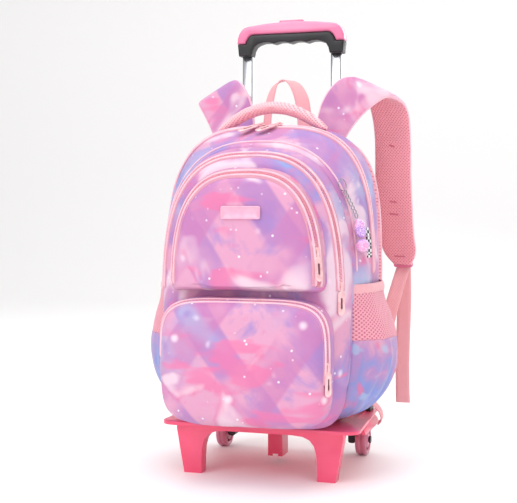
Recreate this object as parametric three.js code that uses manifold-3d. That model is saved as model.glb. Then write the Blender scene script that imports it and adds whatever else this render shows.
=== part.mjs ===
// A child's wheeled school backpack. Millimetres, +Z up, front towards -Y, +X to the right seen from the
// front.
// A soft bag of nested zipped compartments stands on a moulded tray with two front legs and two rear wheels.
// A two-tube telescopic handle rises behind the bag's back panel.
import * as THREE from "three";
import { mergeVertices } from "three/addons/utils/BufferGeometryUtils.js";
import Module from "manifold-3d";

const wasm = await Module();
wasm.setup();

// Clearances and cloth
const SEAT_GAP = 0.3; // left between two pieces that touch
const RUN_GAP = 0.4; // left round a sliding or turning piece
const CLOTH = 2.4; // printed cloth with its foam backing
const POCKET_CLOTH = 1.8; // side pocket cloth and mesh
const RING_POINTS = 32; // points round each outline of the bag
const EPS = 1e-6; // keeps powers and divisions clear of zero

// Main bag
const BAG_HALF = 166; // half width at its widest
const BAG_TOP = 537;
const BAG_WIDE_Z = 313; // height of the widest point
const MAIN_DEPTH = 104; // back panel to main zip
const FRONT_DEPTH = 64; // main zip to the wall of the second compartment
const SHOULDER = 22; // how far the front edge of the bag rounds inwards
const TOP_FALL = 13; // how much further the top slopes down between the main zip and the front
const BACK_PANEL = 12; // thickness of the padded back panel
const BACK_Y = 12; // rear face of the back panel

// Second compartment
const SECOND_HALF = 148;
const SECOND_TOP = 500;
const SECOND_DEPTH = 42;
const SECOND_SHOULDER = 20;

// Upper and lower front pockets
const UPPER_HALF = 120;
const UPPER_TOP = 469;
const UPPER_DEPTH = 32;
const UPPER_SHOULDER = 22;
const LOWER_HALF = 130;
const LOWER_TOP = 279;
const LOWER_DEPTH = 44;
const LOWER_SHOULDER = 22;
const LOWER_LIFT = 10; // pocket's bottom edge above the bag's bottom
const POCKET_SPLIT = 9; // bare strip between the lower and the upper pocket

// Zips
const ZIP_THICK = 2.2;
const PIPING_PROUD = 2.4;
const ZIP_WIDE = 16; // main zip, where it crosses the seam between two shells
const SECOND_ZIP_DROP = 9; // its ends, below the side pockets' mouths
const UPPER_ZIP_RISE = 6; // its ends, above the upper pocket's bottom edge
const LOWER_ZIP_DROP = 30; // its right end, below the pocket's widest height
const PULL_ABOVE_END = 12; // second pull, above its zip's end
const PULL_BELOW_PLATE = 55; // upper pull, below the name plate's middle
const PULL_LONG = 36;
const PULL_WIDE = 12.5;
const PULL_THICK = 2.6;
const SLIDER_LONG = 13;
const SLIDER_HIGH = 5;

// Side pockets
const SIDE_BULGE = 36;
const SIDE_TOP = 297;
const SIDE_RAISE = 8; // pocket's bottom seam above the bag's bottom
const SIDE_FRONT_Y = -163;
const SIDE_REAR_Y = 0;
const SIDE_BAND = 13; // elastic binding round the mouth
const SIDE_MESH = 70; // height of the mesh panel under the binding

// Name plate
const PLATE_WIDE = 59;
const PLATE_HIGH = 19;
const PLATE_THICK = 1.8;
const PLATE_Z = 403;

// Carry handle, hang loop and straps
const CARRY_SPAN = 84; // half the distance between its ends
const CARRY_RISE = 38;
const CARRY_THICK = 22;
const CARRY_Y = -80;
const LOOP_THICK = 2;
const LOOP_RISE = 80;
const LOOP_SPAN = 38;
const STRAP_THICK = 10;
const STRAP_RISE = 84; // crown of the shoulder strap above the bag's top
const STRAP_REACH = 112; // how far behind the origin plane the straps hang
const STRAP_END_Z = 313;
const WEB_WIDE = 24;
const WEB_THICK = 1.8;
const WEB_END_Z = 77;
const BUCKLE_HIGH = 26;
const BUCKLE_THICK = 7;
const TIE_WIDE = 11;

// Tray, legs and post
const TRAY_TOP = 80;
const TRAY_HALF = 156;
const TRAY_REAR_HALF = 146; // the tray narrows towards the wheels
const TRAY_FRONT_Y = -168;
const TRAY_REAR_Y = 66;
const TRAY_CORNER = 20;
const TRAY_REAR_CORNER = 30;
const FLANGE = 5; // thickness of the tray's plate
const SKIRT = 12; // height of the skirt that hangs round the plate, from its top
const MOULD_WALL = 3.2;
const LEG_TOP_HALF = 132;
const LEG_FOOT_HALF = 120;
const LEG_FOOT = 28; // width of a leg's foot
const LEG_DEPTH = 22;
const LEG_SETBACK = 11; // legs' front face behind the tray's rim
const ARCH_HALF = 52; // half width of the arch's flat crown
const POST_WIDE = 24;
const POST_DEPTH = 34;
const POST_FRONT_Y = -64;
const POST_CLEAR = 13; // above the floor
const POST_NOTCH = 7;
const STEP_Y = 16; // where the tray steps down for the rear bar
const STEP_DOWN = 13;
const FENDER_DROP = 26; // how far the rear corners curve down over the wheels
const FENDER_FRONT_Y = -58;
const FENDER_INNER = 104;

// Wheels
const WHEEL_R = 26;
const WHEEL_WIDE = 19;
const WHEEL_HALF_TRACK = 121;
const WHEEL_Y = 44;
const HUB_R = 11;
const AXLE_R = 3;
const HOUSING_WIDE = 12;
const HOUSING_LONG = 30;
const HOUSING_LOW = 5; // below the axle's centre

// Rear bar and telescopic handle
const BAR_HALF = 138;
const BAR_DEEP = 32;
const BAR_HIGH = 19;
const TUBE_HALF_SPAN = 76;
const TUBE_Y = 34;
const TUBE_WIDE = 17.2; // innermost stage
const TUBE_DEEP = 9.4;
const TUBE_WALL = 1.2;
const OUTER_TOP = 508;
const STAGE_STEP = 9; // each stage stands this far above the one round it when shut
const DRAWN = 138; // how far the inner stage is drawn in the picture's pose
const COLLAR_HIGH = 20;
const COLLAR_LIP = 3.4;
const GRIP_HALF = 92;
const GRIP_DEEP = 26;
const GRIP_LEG = 27; // width of each end block of the grip
const GRIP_LEG_HIGH = 19;
const GRIP_BAR = 16; // height of the black bar
const GRIP_COVER = 19; // height of the pink cover
const GRIP_SCALLOP = 3;
const BUTTON_HALF = 21;
const BUTTON_DEEP = 13;
const BUTTON_PROUD = 3.2;
const BUTTON_TRAVEL = 2.6;

// Charm
const CHARM_LONG = 158; // from its ring to the end of its wrist loop
const CHARM_BELOW = 86; // its ring's top below the bag's top
const CHARM_RING = 9;
const CHARM_WIRE = 1.2;
const CHARM_LINK = 3.6;
const CHARM_CHAIN = 42;
const CHARM_STAND = 6; // off the bag's cloth
const CHARM_BALL = 10.5;
const CHARM_BOB = 9;
const CHARM_BOB_LONG = 15; // half its height
const CHARM_STRAP = 9;

// Heights and places that follow from the sizes above
const BAG_BOTTOM = TRAY_TOP + SEAT_GAP;
const FRONT_PLANE = BACK_Y - BACK_PANEL - SEAT_GAP; // front face of the back panel, where the shells start
const MAIN_ZIP_Y = FRONT_PLANE - MAIN_DEPTH;
const WALL_Y = MAIN_ZIP_Y - FRONT_DEPTH;
const SECOND_Y = WALL_Y - SECOND_DEPTH;
const STEP_Z = TRAY_TOP - STEP_DOWN;
const BAR_TOP = STEP_Z + SEAT_GAP + BAR_HIGH;
const FLOOR_TO_AXLE = WHEEL_R;
const MIDDLE_WIDE = TUBE_WIDE + 2 * (TUBE_WALL + RUN_GAP);
const MIDDLE_DEEP = TUBE_DEEP + 2 * (TUBE_WALL + RUN_GAP);
const OUTER_WIDE = MIDDLE_WIDE + 2 * (TUBE_WALL + RUN_GAP);
const OUTER_DEEP = MIDDLE_DEEP + 2 * (TUBE_WALL + RUN_GAP);
const MIDDLE_TOP = OUTER_TOP + STAGE_STEP;
const GRIP_BOTTOM = MIDDLE_TOP + STAGE_STEP + DRAWN;
const GRIP_UNDER = GRIP_BOTTOM + GRIP_LEG_HIGH;

// Finishes
const finish = (color, roughness, metalness = 0, opacity = 1) =>
  new THREE.MeshStandardMaterial({ color, roughness, metalness, opacity, transparent: opacity < 1 });
const PRINT = () => finish("#d9a6dc", 0.7);
const PIPING = () => finish("#f7b9c8", 0.6);
const MESH = () => finish("#ef8ea2", 0.9);
const AIRMESH = () => finish("#f9b6bf", 0.9);
const WEBBING = () => finish("#f6a3ae", 0.8);
const TRAY = () => finish("#fb4f74", 0.45);
const BLACK = () => finish("#1b1b1d", 0.5);
const COVER = () => finish("#f49bbd", 0.35);
const METAL = () => finish("#d5d7db", 0.25, 1);
const WHEEL = () => finish("#e87f95", 0.2, 0, 0.8);
const GLITTER = () => finish("#d48fd0", 0.35);

const bag = new THREE.Group();

function add(name, geometry, material) {
  geometry.computeVertexNormals();
  const mesh = new THREE.Mesh(geometry, material);
  mesh.name = name;
  bag.add(mesh);
  return mesh;
}

// Solids from geometries and back, for cutting and joining. A solid passes through unchanged.
function toSolid(geometry) {
  if (!geometry.isBufferGeometry) return geometry;
  const bare = new THREE.BufferGeometry().setAttribute("position", geometry.getAttribute("position").clone());
  if (geometry.index) bare.setIndex(geometry.index.clone());
  const merged = mergeVertices(bare, 1e-4);
  return new wasm.Manifold(
    new wasm.Mesh({
      numProp: 3,
      vertProperties: new Float32Array(merged.attributes.position.array),
      triVerts: new Uint32Array(merged.index.array),
    }),
  );
}

function toGeometry(solid) {
  const { vertProperties, triVerts, numProp, numVert } = solid.getMesh();
  const points = new Float32Array(numVert * 3);
  for (let i = 0; i < numVert; i++) points.set(vertProperties.subarray(i * numProp, i * numProp + 3), 3 * i);
  return new THREE.BufferGeometry()
    .setAttribute("position", new THREE.BufferAttribute(points, 3))
    .setIndex(new THREE.BufferAttribute(new Uint32Array(triVerts), 1));
}

const joined = (...pieces) => pieces.map(toSolid).reduce((a, b) => a.add(b));
const carved = (piece, ...tools) => tools.map(toSolid).reduce((a, b) => a.subtract(b), toSolid(piece));
const join = (...pieces) => toGeometry(joined(...pieces));
const cut = (piece, ...tools) => toGeometry(carved(piece, ...tools));

// The largest body of a cut piece, for cloth whose seam allowance is trimmed away at the bag.
function trimmed(geometry, ...tools) {
  const bodies = carved(geometry, ...tools).decompose();
  return toGeometry(bodies.reduce((a, b) => (b.volume() > a.volume() ? b : a)));
}

const centroid = (ring) =>
  [ring.reduce((sum, p) => sum.add(p), new THREE.Vector3()).divideScalar(ring.length)];

// A closed surface through rings of points; a ring of one point is a pole, and a looped row of rings is a
// torus.
function skin(rings, looped = false) {
  const points = rings.flat();
  const start = [];
  rings.reduce((n, ring) => (start.push(n), n + ring.length), 0);
  const faces = [];
  const pairs = looped ? rings.length : rings.length - 1;
  for (let r = 0; r < pairs; r++) {
    const s = (r + 1) % rings.length;
    const n = Math.max(rings[r].length, rings[s].length);
    for (let i = 0; i < n; i++) {
      const j = (i + 1) % n;
      const [a, b] = rings[r].length === 1 ? [start[r], start[r]] : [start[r] + i, start[r] + j];
      const [c, d] = rings[s].length === 1 ? [start[s], start[s]] : [start[s] + i, start[s] + j];
      if (a !== b) faces.push(a, b, d);
      if (c !== d) faces.push(a, d, c);
    }
  }
  let volume = 0;
  for (let f = 0; f < faces.length; f += 3) {
    const [p, q, t] = [points[faces[f]], points[faces[f + 1]], points[faces[f + 2]]];
    volume += p.dot(new THREE.Vector3().crossVectors(q, t));
  }
  if (volume < 0) faces.reverse();
  return new THREE.BufferGeometry()
    .setAttribute("position", new THREE.Float32BufferAttribute(points.flatMap((p) => [p.x, p.y, p.z]), 3))
    .setIndex(faces);
}

// Outline of a compartment seen from the front: an arch with its own squareness at the top and bottom.
// tuck: share of each ring's inset that its bottom edge takes, where that isn't all of it.
const FORMS = {
  bag: {
    half: BAG_HALF, bottom: BAG_BOTTOM, wide: BAG_WIDE_Z, top: BAG_TOP, crown: 3.6, base: 6, lean: 0.03,
  },
  second: {
    half: SECOND_HALF, bottom: BAG_BOTTOM, wide: SIDE_TOP, top: SECOND_TOP, crown: 2.8, base: 7, lean: 0.06,
  },
  upper: {
    half: UPPER_HALF, bottom: LOWER_TOP + POCKET_SPLIT, wide: LOWER_TOP + 2.5 * POCKET_SPLIT, top: UPPER_TOP,
    crown: 2.8, base: 12, lean: 0.05, tuck: 0.3,
  },
  lower: {
    half: LOWER_HALF, bottom: BAG_BOTTOM + LOWER_LIFT,
    wide: (BAG_BOTTOM + LOWER_LIFT + LOWER_TOP) / 2, top: LOWER_TOP,
    crown: 5, base: 5, lean: 0.01,
  },
};

function outline(form, y, inset = 0, square = form.crown, fall = 0) {
  const ring = [];
  for (let i = 0; i < RING_POINTS; i++) {
    const t = (2 * Math.PI * i) / RING_POINTS;
    const [c, s] = [Math.cos(t), Math.sin(t)];
    const power = 2 / (s >= 0 ? square : form.base);
    const up = Math.pow(Math.abs(s), power);
    const bottom = form.bottom + inset * (form.tuck ?? 1);
    const reach = s >= 0 ? form.top - fall - inset - form.wide : form.wide - bottom;
    const x = (form.half - inset) * Math.sign(c) * Math.pow(Math.abs(c), power) * (1 - form.lean * up);
    ring.push(new THREE.Vector3(Math.abs(c) < EPS ? 0 : x, y, form.wide + Math.sign(s) * reach * up));
  }
  return ring;
}

const poleOf = (form, y) => [new THREE.Vector3(0, y, (form.top + form.bottom) / 2)];

// Rings of a compartment from its section table: how far forward each lies and how far it rounds in.
const ringsOf = (form, rows, y, depth, shoulder, extra = 0) =>
  rows.map((row) =>
    outline(form, y - row.forward * depth, row.inset * shoulder + extra, row.square,
      (row.fall ?? 0) * TOP_FALL),
  );

// A pouch of cloth, open at its rear rim and closed at the front.
function pouch(form, rows, y, depth, shoulder) {
  const outer = ringsOf(form, rows, y, depth, shoulder);
  const inner = ringsOf(form, rows, y, depth, shoulder, CLOTH);
  inner.forEach((ring, k) => k > 0 && ring.forEach((p) => (p.y += CLOTH * rows[k].face)));
  const tip = y - depth;
  return skin([poleOf(form, tip + CLOTH), ...inner.reverse(), ...outer, poleOf(form, tip)]);
}

// Section tables. forward: share of the depth. inset: share of the shoulder. face: share of the cloth,
// front wall.
// fall: share of TOP_FALL, taken off the top alone.
const MAIN_ROWS = [
  { forward: 0.0, inset: 0.66, fall: 0, square: 4.0 },
  { forward: 0.14, inset: 0.42, fall: 0, square: 3.9 },
  { forward: 0.6, inset: 0, fall: 0, square: 3.7 },
  { forward: 1.0, inset: 0.06, fall: 0.05, square: 3.3 },
];
const FRONT_ROWS = [
  { forward: 0.0, inset: 0.06, face: 0, fall: 0.05, square: 3.3 },
  { forward: 0.35, inset: 0.14, face: 0.2, fall: 0.8, square: 2.9 },
  { forward: 0.65, inset: 0.45, face: 0.5, fall: 1, square: 2.6 },
  { forward: 1.0, inset: 0.95, face: 1, fall: 1, square: 2.6 },
];
const SECOND_ROWS = [
  { forward: 0.0, inset: 0, face: 0 },
  { forward: 0.5, inset: 0.34, face: 0.2 },
  { forward: 0.86, inset: 0.92, face: 0.6 },
  { forward: 1.0, inset: 1.35, face: 1 },
];
const UPPER_ROWS = [
  { forward: 0.0, inset: 0, face: 0 },
  { forward: 0.14, inset: 0.08, face: 0.3 },
  { forward: 0.76, inset: 0.8, face: 0.7 },
  { forward: 0.9, inset: 1.3, face: 1 },
  { forward: 0.98, inset: 3, face: 1 },
];
const LOWER_ROWS = [
  { forward: 0.0, inset: 0, face: 0 },
  { forward: 0.37, inset: 0.05, face: 0.3 },
  { forward: 0.72, inset: 0.42, face: 0.7 },
  { forward: 0.88, inset: 1.05, face: 1 },
  { forward: 0.97, inset: 2.6, face: 1 },
];

// A table's value between its rows.
function fromTable(rows, key, value, at) {
  const k = Math.max(1, rows.findIndex((row) => row[key] >= at - EPS));
  const [low, high] = [rows[k - 1], rows[k]];
  return low[value] + ((high[value] - low[value]) * (at - low[key])) / (high[key] - low[key]);
}

// Padded back panel: a plate with rounded edges, in the bag's own outline.
const panelRings = [
  outline(FORMS.bag, BACK_Y, BACK_PANEL, MAIN_ROWS[0].square),
  outline(FORMS.bag, BACK_Y - 0.4 * BACK_PANEL, 0.7 * BACK_PANEL, MAIN_ROWS[0].square),
  outline(FORMS.bag, BACK_Y - BACK_PANEL, MAIN_ROWS[0].inset * SHOULDER, MAIN_ROWS[0].square),
];
add(
  "back_panel",
  skin([poleOf(FORMS.bag, BACK_Y), ...panelRings, poleOf(FORMS.bag, BACK_Y - BACK_PANEL)]),
  AIRMESH(),
);

// Main compartment: a deep gusset behind the main zip, and a pouch in front of it.
const gussetOuter = ringsOf(FORMS.bag, MAIN_ROWS, FRONT_PLANE, MAIN_DEPTH - SEAT_GAP, SHOULDER);
const gussetInner = ringsOf(FORMS.bag, MAIN_ROWS, FRONT_PLANE, MAIN_DEPTH - SEAT_GAP, SHOULDER, CLOTH);
add("main_gusset", skin([...gussetOuter, ...gussetInner.reverse()], true), PRINT());
add("main_front", pouch(FORMS.bag, FRONT_ROWS, MAIN_ZIP_Y, FRONT_DEPTH, SHOULDER), PRINT());
add(
  "second_compartment",
  pouch(FORMS.second, SECOND_ROWS, WALL_Y - SEAT_GAP, SECOND_DEPTH, SECOND_SHOULDER),
  PRINT(),
);
add("upper_pocket", pouch(FORMS.upper, UPPER_ROWS, SECOND_Y - 2 * SEAT_GAP, UPPER_DEPTH,
  UPPER_SHOULDER), PRINT());
add("lower_pocket", pouch(FORMS.lower, LOWER_ROWS, SECOND_Y - 2 * SEAT_GAP, LOWER_DEPTH,
  LOWER_SHOULDER), PRINT());

// The bag as one block, swollen by the seat gap, that trims what is sewn on to it.
const envelope = skin([
  poleOf(FORMS.bag, BACK_Y + SEAT_GAP),
  ...panelRings.slice(0, 2).map((ring) => ring.map((p) => p.clone())),
  ...ringsOf(FORMS.bag, MAIN_ROWS, FRONT_PLANE, MAIN_DEPTH, SHOULDER, -SEAT_GAP),
  ...ringsOf(FORMS.bag, FRONT_ROWS.slice(1), MAIN_ZIP_Y, FRONT_DEPTH + SEAT_GAP, SHOULDER, -SEAT_GAP),
  poleOf(FORMS.bag, WALL_Y - SEAT_GAP),
]);
const upperBlock = skin([
  poleOf(FORMS.upper, SECOND_Y),
  ...ringsOf(FORMS.upper, UPPER_ROWS, SECOND_Y, UPPER_DEPTH + 3 * SEAT_GAP, UPPER_SHOULDER, -SEAT_GAP),
  poleOf(FORMS.upper, SECOND_Y - UPPER_DEPTH - 3 * SEAT_GAP),
]);

// A strip that lies on a shell between two of its rings, from one height round over the top to another.
function strip(ringA, ringB, lowLeft, lowRight, lift, thick, margin = 0.08) {
  const middleZ = ringA.reduce((sum, p) => sum + p.z, 0) / ringA.length;
  const on = ringA.map((p, i) => {
    const q = ringB[i];
    const [before, after] = [ringA.at(i - 1), ringA[(i + 1) % RING_POINTS]];
    const along = new THREE.Vector3().subVectors(after, before);
    const across = new THREE.Vector3().subVectors(q, p);
    const normal = new THREE.Vector3().crossVectors(along, across).normalize();
    const outward = new THREE.Vector3(p.x, 0, p.z - middleZ).dot(normal) < 0 ? -1 : 1;
    normal.multiplyScalar(outward);
    const [a, b] = [p.clone().lerp(q, margin), p.clone().lerp(q, 1 - margin)];
    return { a, b, normal };
  });
  const chosen = [];
  for (let k = 0; k < RING_POINTS; k++) {
    const i = (k + Math.ceil(0.75 * RING_POINTS)) % RING_POINTS;
    const low = on[i].a.x > 0 ? lowRight : lowLeft;
    if (on[i].a.z > low) chosen.push(on[i]);
  }
  const corners = chosen.map(({ a, b, normal }) =>
    [[a, lift + thick], [b, lift + thick], [b, lift], [a, lift]].map(([p, d]) =>
      p.clone().addScaledVector(normal, d)),
  );
  return skin([centroid(corners[0]), ...corners, centroid(corners.at(-1))]);
}

// Where a shell's shoulder reaches a height on the right-hand side: a point, its outward normal and its
// slope.
function sideSeat(ringA, ringB, z, side = 1) {
  const middles = ringA.map((p, i) => p.clone().lerp(ringB[i], 0.5));
  for (let i = 0; i < RING_POINTS; i++) {
    const [p, q] = [middles[i], middles[(i + 1) % RING_POINTS]];
    if (p.x * side < 0 || (p.z - z) * (q.z - z) > 0 || p.z === q.z) continue;
    const share = (z - p.z) / (q.z - p.z);
    const at = p.clone().lerp(q, share);
    const across = new THREE.Vector3().subVectors(ringB[i], ringA[i]);
    const normal = new THREE.Vector3().crossVectors(new THREE.Vector3().subVectors(q, p), across).normalize();
    if (normal.x * side < 0) normal.negate();
    return { at, normal };
  }
  throw new Error("no seat at this height");
}

const secondRings = ringsOf(FORMS.second, SECOND_ROWS, WALL_Y - SEAT_GAP, SECOND_DEPTH, SECOND_SHOULDER);
const upperRings = ringsOf(FORMS.upper, UPPER_ROWS, SECOND_Y - 2 * SEAT_GAP, UPPER_DEPTH, UPPER_SHOULDER);
const lowerRings = ringsOf(FORMS.lower, LOWER_ROWS, SECOND_Y - 2 * SEAT_GAP, LOWER_DEPTH, LOWER_SHOULDER);
const frontRings = ringsOf(FORMS.bag, FRONT_ROWS, MAIN_ZIP_Y, FRONT_DEPTH, SHOULDER);

// Zips: the main one bridges gusset and front, the others lie on their compartments' shoulders.
const zipRear = gussetOuter.at(-1).map((p) => p.clone().setY(MAIN_ZIP_Y + ZIP_WIDE / 2));
const ZIP_REACH = ZIP_WIDE / 2 / FRONT_DEPTH; // share of the front's depth that the zip covers
const zipFront = outline(
  FORMS.bag, MAIN_ZIP_Y - ZIP_WIDE / 2, MAIN_ROWS[3].inset * SHOULDER,
    fromTable(FRONT_ROWS, "forward", "square", ZIP_REACH),
  fromTable(FRONT_ROWS, "forward", "fall", ZIP_REACH) * TOP_FALL,
);
const MAIN_ZIP_LIFT = 4 * SEAT_GAP; // clears the rounding of both shells
const mainZipEnd = SIDE_TOP + SIDE_BAND; // its ends meet the side pockets' bands
const mainZip = strip(zipRear, zipFront, mainZipEnd, mainZipEnd, MAIN_ZIP_LIFT, ZIP_THICK, 0);
add("main_zip", trimmed(mainZip, envelope), PIPING());
const secondZipEnd = SIDE_TOP - SECOND_ZIP_DROP;
add(
  "second_zip",
  strip(secondRings[1], secondRings[2], secondZipEnd, secondZipEnd, SEAT_GAP, ZIP_THICK),
  PIPING(),
);
const upperZipEnd = FORMS.upper.bottom + UPPER_ZIP_RISE;
add(
  "upper_zip",
  strip(upperRings[1], upperRings[2], upperZipEnd, upperZipEnd, SEAT_GAP, ZIP_THICK),
  PIPING(),
);
add(
  "lower_zip",
  strip(
    lowerRings[1], lowerRings[2], FORMS.lower.wide, FORMS.lower.wide - LOWER_ZIP_DROP,
    SEAT_GAP, ZIP_THICK,
  ),
  PIPING(),
);

// Seam piping between main zip and second compartment.
add(
  "front_piping",
  strip(frontRings[2], frontRings[3], SIDE_TOP + SIDE_BAND, SIDE_TOP + SIDE_BAND, SEAT_GAP,
    PIPING_PROUD, 0.42),
  PIPING(),
);

// Rounded rectangle centred on the origin; its upper corners and upper width may differ from the lower ones.
function roundedRect(wide, high, radius, upperRadius = radius, upperWide = wide) {
  const [w, h, r] = [wide / 2, high / 2, Math.min(radius, wide / 2 - EPS, high / 2 - EPS)];
  const [v, q] = [upperWide / 2, Math.min(upperRadius, upperWide / 2 - EPS, high - r - EPS)];
  const shape = new THREE.Shape();
  shape.moveTo(w - r, -h).absarc(w - r, -h + r, r, -Math.PI / 2, 0).absarc(v - q, h - q, q, 0, Math.PI / 2);
  shape.absarc(-v + q, h - q, q, Math.PI / 2, Math.PI).absarc(-w + r, -h + r, r, Math.PI, 1.5 * Math.PI);
  return shape;
}

const extruded = (shape, depth, curveSegments = 3, bevel = 0) =>
  new THREE.ExtrudeGeometry(shape, {
    depth: depth - 2 * bevel, curveSegments, bevelEnabled: bevel > 0, bevelSize: bevel, bevelOffset: -bevel,
    bevelThickness: bevel, bevelSegments: 1,
  }).translate(0, 0, bevel);

// A shape drawn as a front view, pushed back from frontY by depth.
const frontView = (shape, frontY, depth, curveSegments, bevel) =>
  extruded(shape, depth, curveSegments, bevel).rotateX(Math.PI / 2).translate(0, frontY + depth, 0);

const block = (x0, x1, y0, y1, z0, z1) =>
  new THREE.BoxGeometry(x1 - x0, y1 - y0, z1 - z0).translate((x0 + x1) / 2, (y0 + y1) / 2, (z0 + z1) / 2);

const rod = (radius, length, sides = 16) => new THREE.CylinderGeometry(radius, radius, length, sides);

// Zip pull: a slider with a long rounded tab that hangs from it, laid on a surface with the given normal.
function zipPull(at, normal, down, stand) {
  const slider = block(-PULL_WIDE / 3, PULL_WIDE / 3, -SLIDER_HIGH, 0, -SLIDER_LONG / 2, SLIDER_LONG / 2);
  const neck = block(-PULL_WIDE / 6, PULL_WIDE / 6, -SLIDER_HIGH, -SLIDER_HIGH + PULL_THICK, -SLIDER_LONG, 0);
  const tabShape = roundedRect(PULL_WIDE, PULL_LONG, PULL_WIDE / 2);
  tabShape.holes.push(roundedRect(PULL_WIDE / 4, PULL_LONG / 3, PULL_WIDE / 8));
  const tab = frontView(tabShape, -SLIDER_HIGH, PULL_THICK, 2)
    .translate(0, 0, -SLIDER_LONG / 2 - PULL_LONG / 2);
  const axisY = normal.clone().negate();
  const axisZ = down.clone().negate().addScaledVector(axisY, down.dot(axisY)).normalize();
  const axisX = new THREE.Vector3().crossVectors(axisY, axisZ);
  const place = new THREE.Matrix4().makeBasis(axisX, axisY, axisZ)
    .setPosition(at.clone().addScaledVector(normal, stand));
  return join(slider, neck, tab).applyMatrix4(place);
}

const DOWN = new THREE.Vector3(0, 0, -1);
const ON_ZIP = ZIP_THICK + 2 * SEAT_GAP;
const PULLS = [
  { name: "second_pull", rings: secondRings, z: secondZipEnd + PULL_ABOVE_END },
  { name: "upper_pull", rings: upperRings, z: PLATE_Z - PULL_BELOW_PLATE },
  { name: "lower_pull", rings: lowerRings, z: FORMS.lower.wide + 2 },
];
PULLS.forEach(({ name, rings, z }) => {
  const seat = sideSeat(rings[1], rings[2], z);
  add(name, zipPull(seat.at, seat.normal, DOWN, ON_ZIP), PIPING());
});

// Two pulls meet at the top of the main zip and lie forwards on the bag.
const MAIN_PULLS = [
  { name: "main_pull_left", x: -0.07, swing: -0.75 },
  { name: "main_pull_right", x: 0.1, swing: -0.75 },
];
const TOP_SLOPE = 0.42; // fall of the bag's top towards the front
const PULL_STAND = -0.7; // the slider's middle sinks a little where the slope begins
const zipTop = BAG_TOP - MAIN_ROWS[3].inset * SHOULDER - FRONT_ROWS[0].fall * TOP_FALL + MAIN_ZIP_LIFT
  + ZIP_THICK;
MAIN_PULLS.forEach(({ name, x, swing }) => {
  const at = new THREE.Vector3(x * BAG_HALF, MAIN_ZIP_Y, zipTop);
  const forwards = new THREE.Vector3(swing, -1, 0);
  const topNormal = new THREE.Vector3(0, -TOP_SLOPE, 1).normalize();
  add(name, zipPull(at, topNormal, forwards, PULL_STAND), PIPING());
});

// Name plate on the upper pocket, left bare.
const plateFront = SECOND_Y - UPPER_DEPTH - 3 * SEAT_GAP - PLATE_THICK;
add(
  "name_plate",
  cut(
    frontView(roundedRect(PLATE_WIDE, PLATE_HIGH, 2), plateFront, 3 * PLATE_THICK, 3)
      .translate(0, 0, PLATE_Z),
    upperBlock,
  ),
  PIPING(),
);

// Side pockets: bulge as a share of SIDE_BULGE, against height as a share of the pocket's height.
const BULGE_ROWS = [
  { height: 0, bulge: -0.12 },
  { height: 0.04, bulge: 0.26 },
  { height: 0.13, bulge: 0.53 },
  { height: 0.24, bulge: 0.79 },
  { height: 0.38, bulge: 0.98 },
  { height: 0.5, bulge: 1.0 },
  { height: 0.62, bulge: 0.9 },
  { height: 0.75, bulge: 0.66 },
  { height: 0.87, bulge: 0.36 },
  { height: 1.0, bulge: 0.2 },
];

// Half width of the bag's side at a place along its depth and a height.
function bagHalfAt(y, z) {
  const inFront = y < MAIN_ZIP_Y;
  const [rows, start, depth] = inFront
    ? [FRONT_ROWS, MAIN_ZIP_Y, FRONT_DEPTH]
    : [MAIN_ROWS, FRONT_PLANE, MAIN_DEPTH];
  const share = Math.min(1, Math.max(0, (start - y) / depth));
  const inset = fromTable(rows, "forward", "inset", share) * SHOULDER;
  const square = fromTable(rows, "forward", "square", share);
  const fall = fromTable(rows, "forward", "fall", share) * TOP_FALL;
  const form = FORMS.bag;
  const up =
    z >= form.wide
      ? (z - form.wide) / (form.top - fall - inset - form.wide)
      : (form.wide - z) / (form.wide - form.bottom - inset);
  const n = z >= form.wide ? square : form.base;
  const within = Math.min(1, Math.max(0, up));
  return (form.half - inset) * Math.pow(1 - Math.pow(within, n), 1 / n) * (1 - form.lean * within);
}

const SIDE_BOTTOM = BAG_BOTTOM + SIDE_RAISE;
const SIDE_COLUMNS = 8;
const SIDE_SEAM = 3; // cloth that runs into the bag's side before it is trimmed

// Rings round a curved sheet of pocket cloth between two heights: its outer row and, reversed, its inner row.
function sideRings(side, z0, z1, thick, rows) {
  const sheet = (inwards) => {
    const grid = [];
    for (let r = 0; r <= rows; r++) {
      const z = z0 + ((z1 - z0) * r) / rows;
      const rise = fromTable(BULGE_ROWS, "height", "bulge", (z - SIDE_BOTTOM) / (SIDE_TOP - SIDE_BOTTOM));
      const row = [];
      for (let c = 0; c <= SIDE_COLUMNS; c++) {
        const u = c / SIDE_COLUMNS;
        const y = SIDE_FRONT_Y + (SIDE_REAR_Y - SIDE_FRONT_Y) * u;
        const swell = Math.pow(Math.sin(Math.PI * u), 0.7);
        const edge = c === 0 || c === SIDE_COLUMNS ? -SIDE_SEAM : 0;
        const x = bagHalfAt(y, z) + SIDE_BULGE * rise * swell + edge - inwards;
        row.push(new THREE.Vector3(side * x, y, z));
      }
      grid.push(row);
    }
    return grid;
  };
  const [outer, inner] = [sheet(0), sheet(thick)];
  return outer.map((row, r) => [...row, ...[...inner[r]].reverse()]);
}

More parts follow.
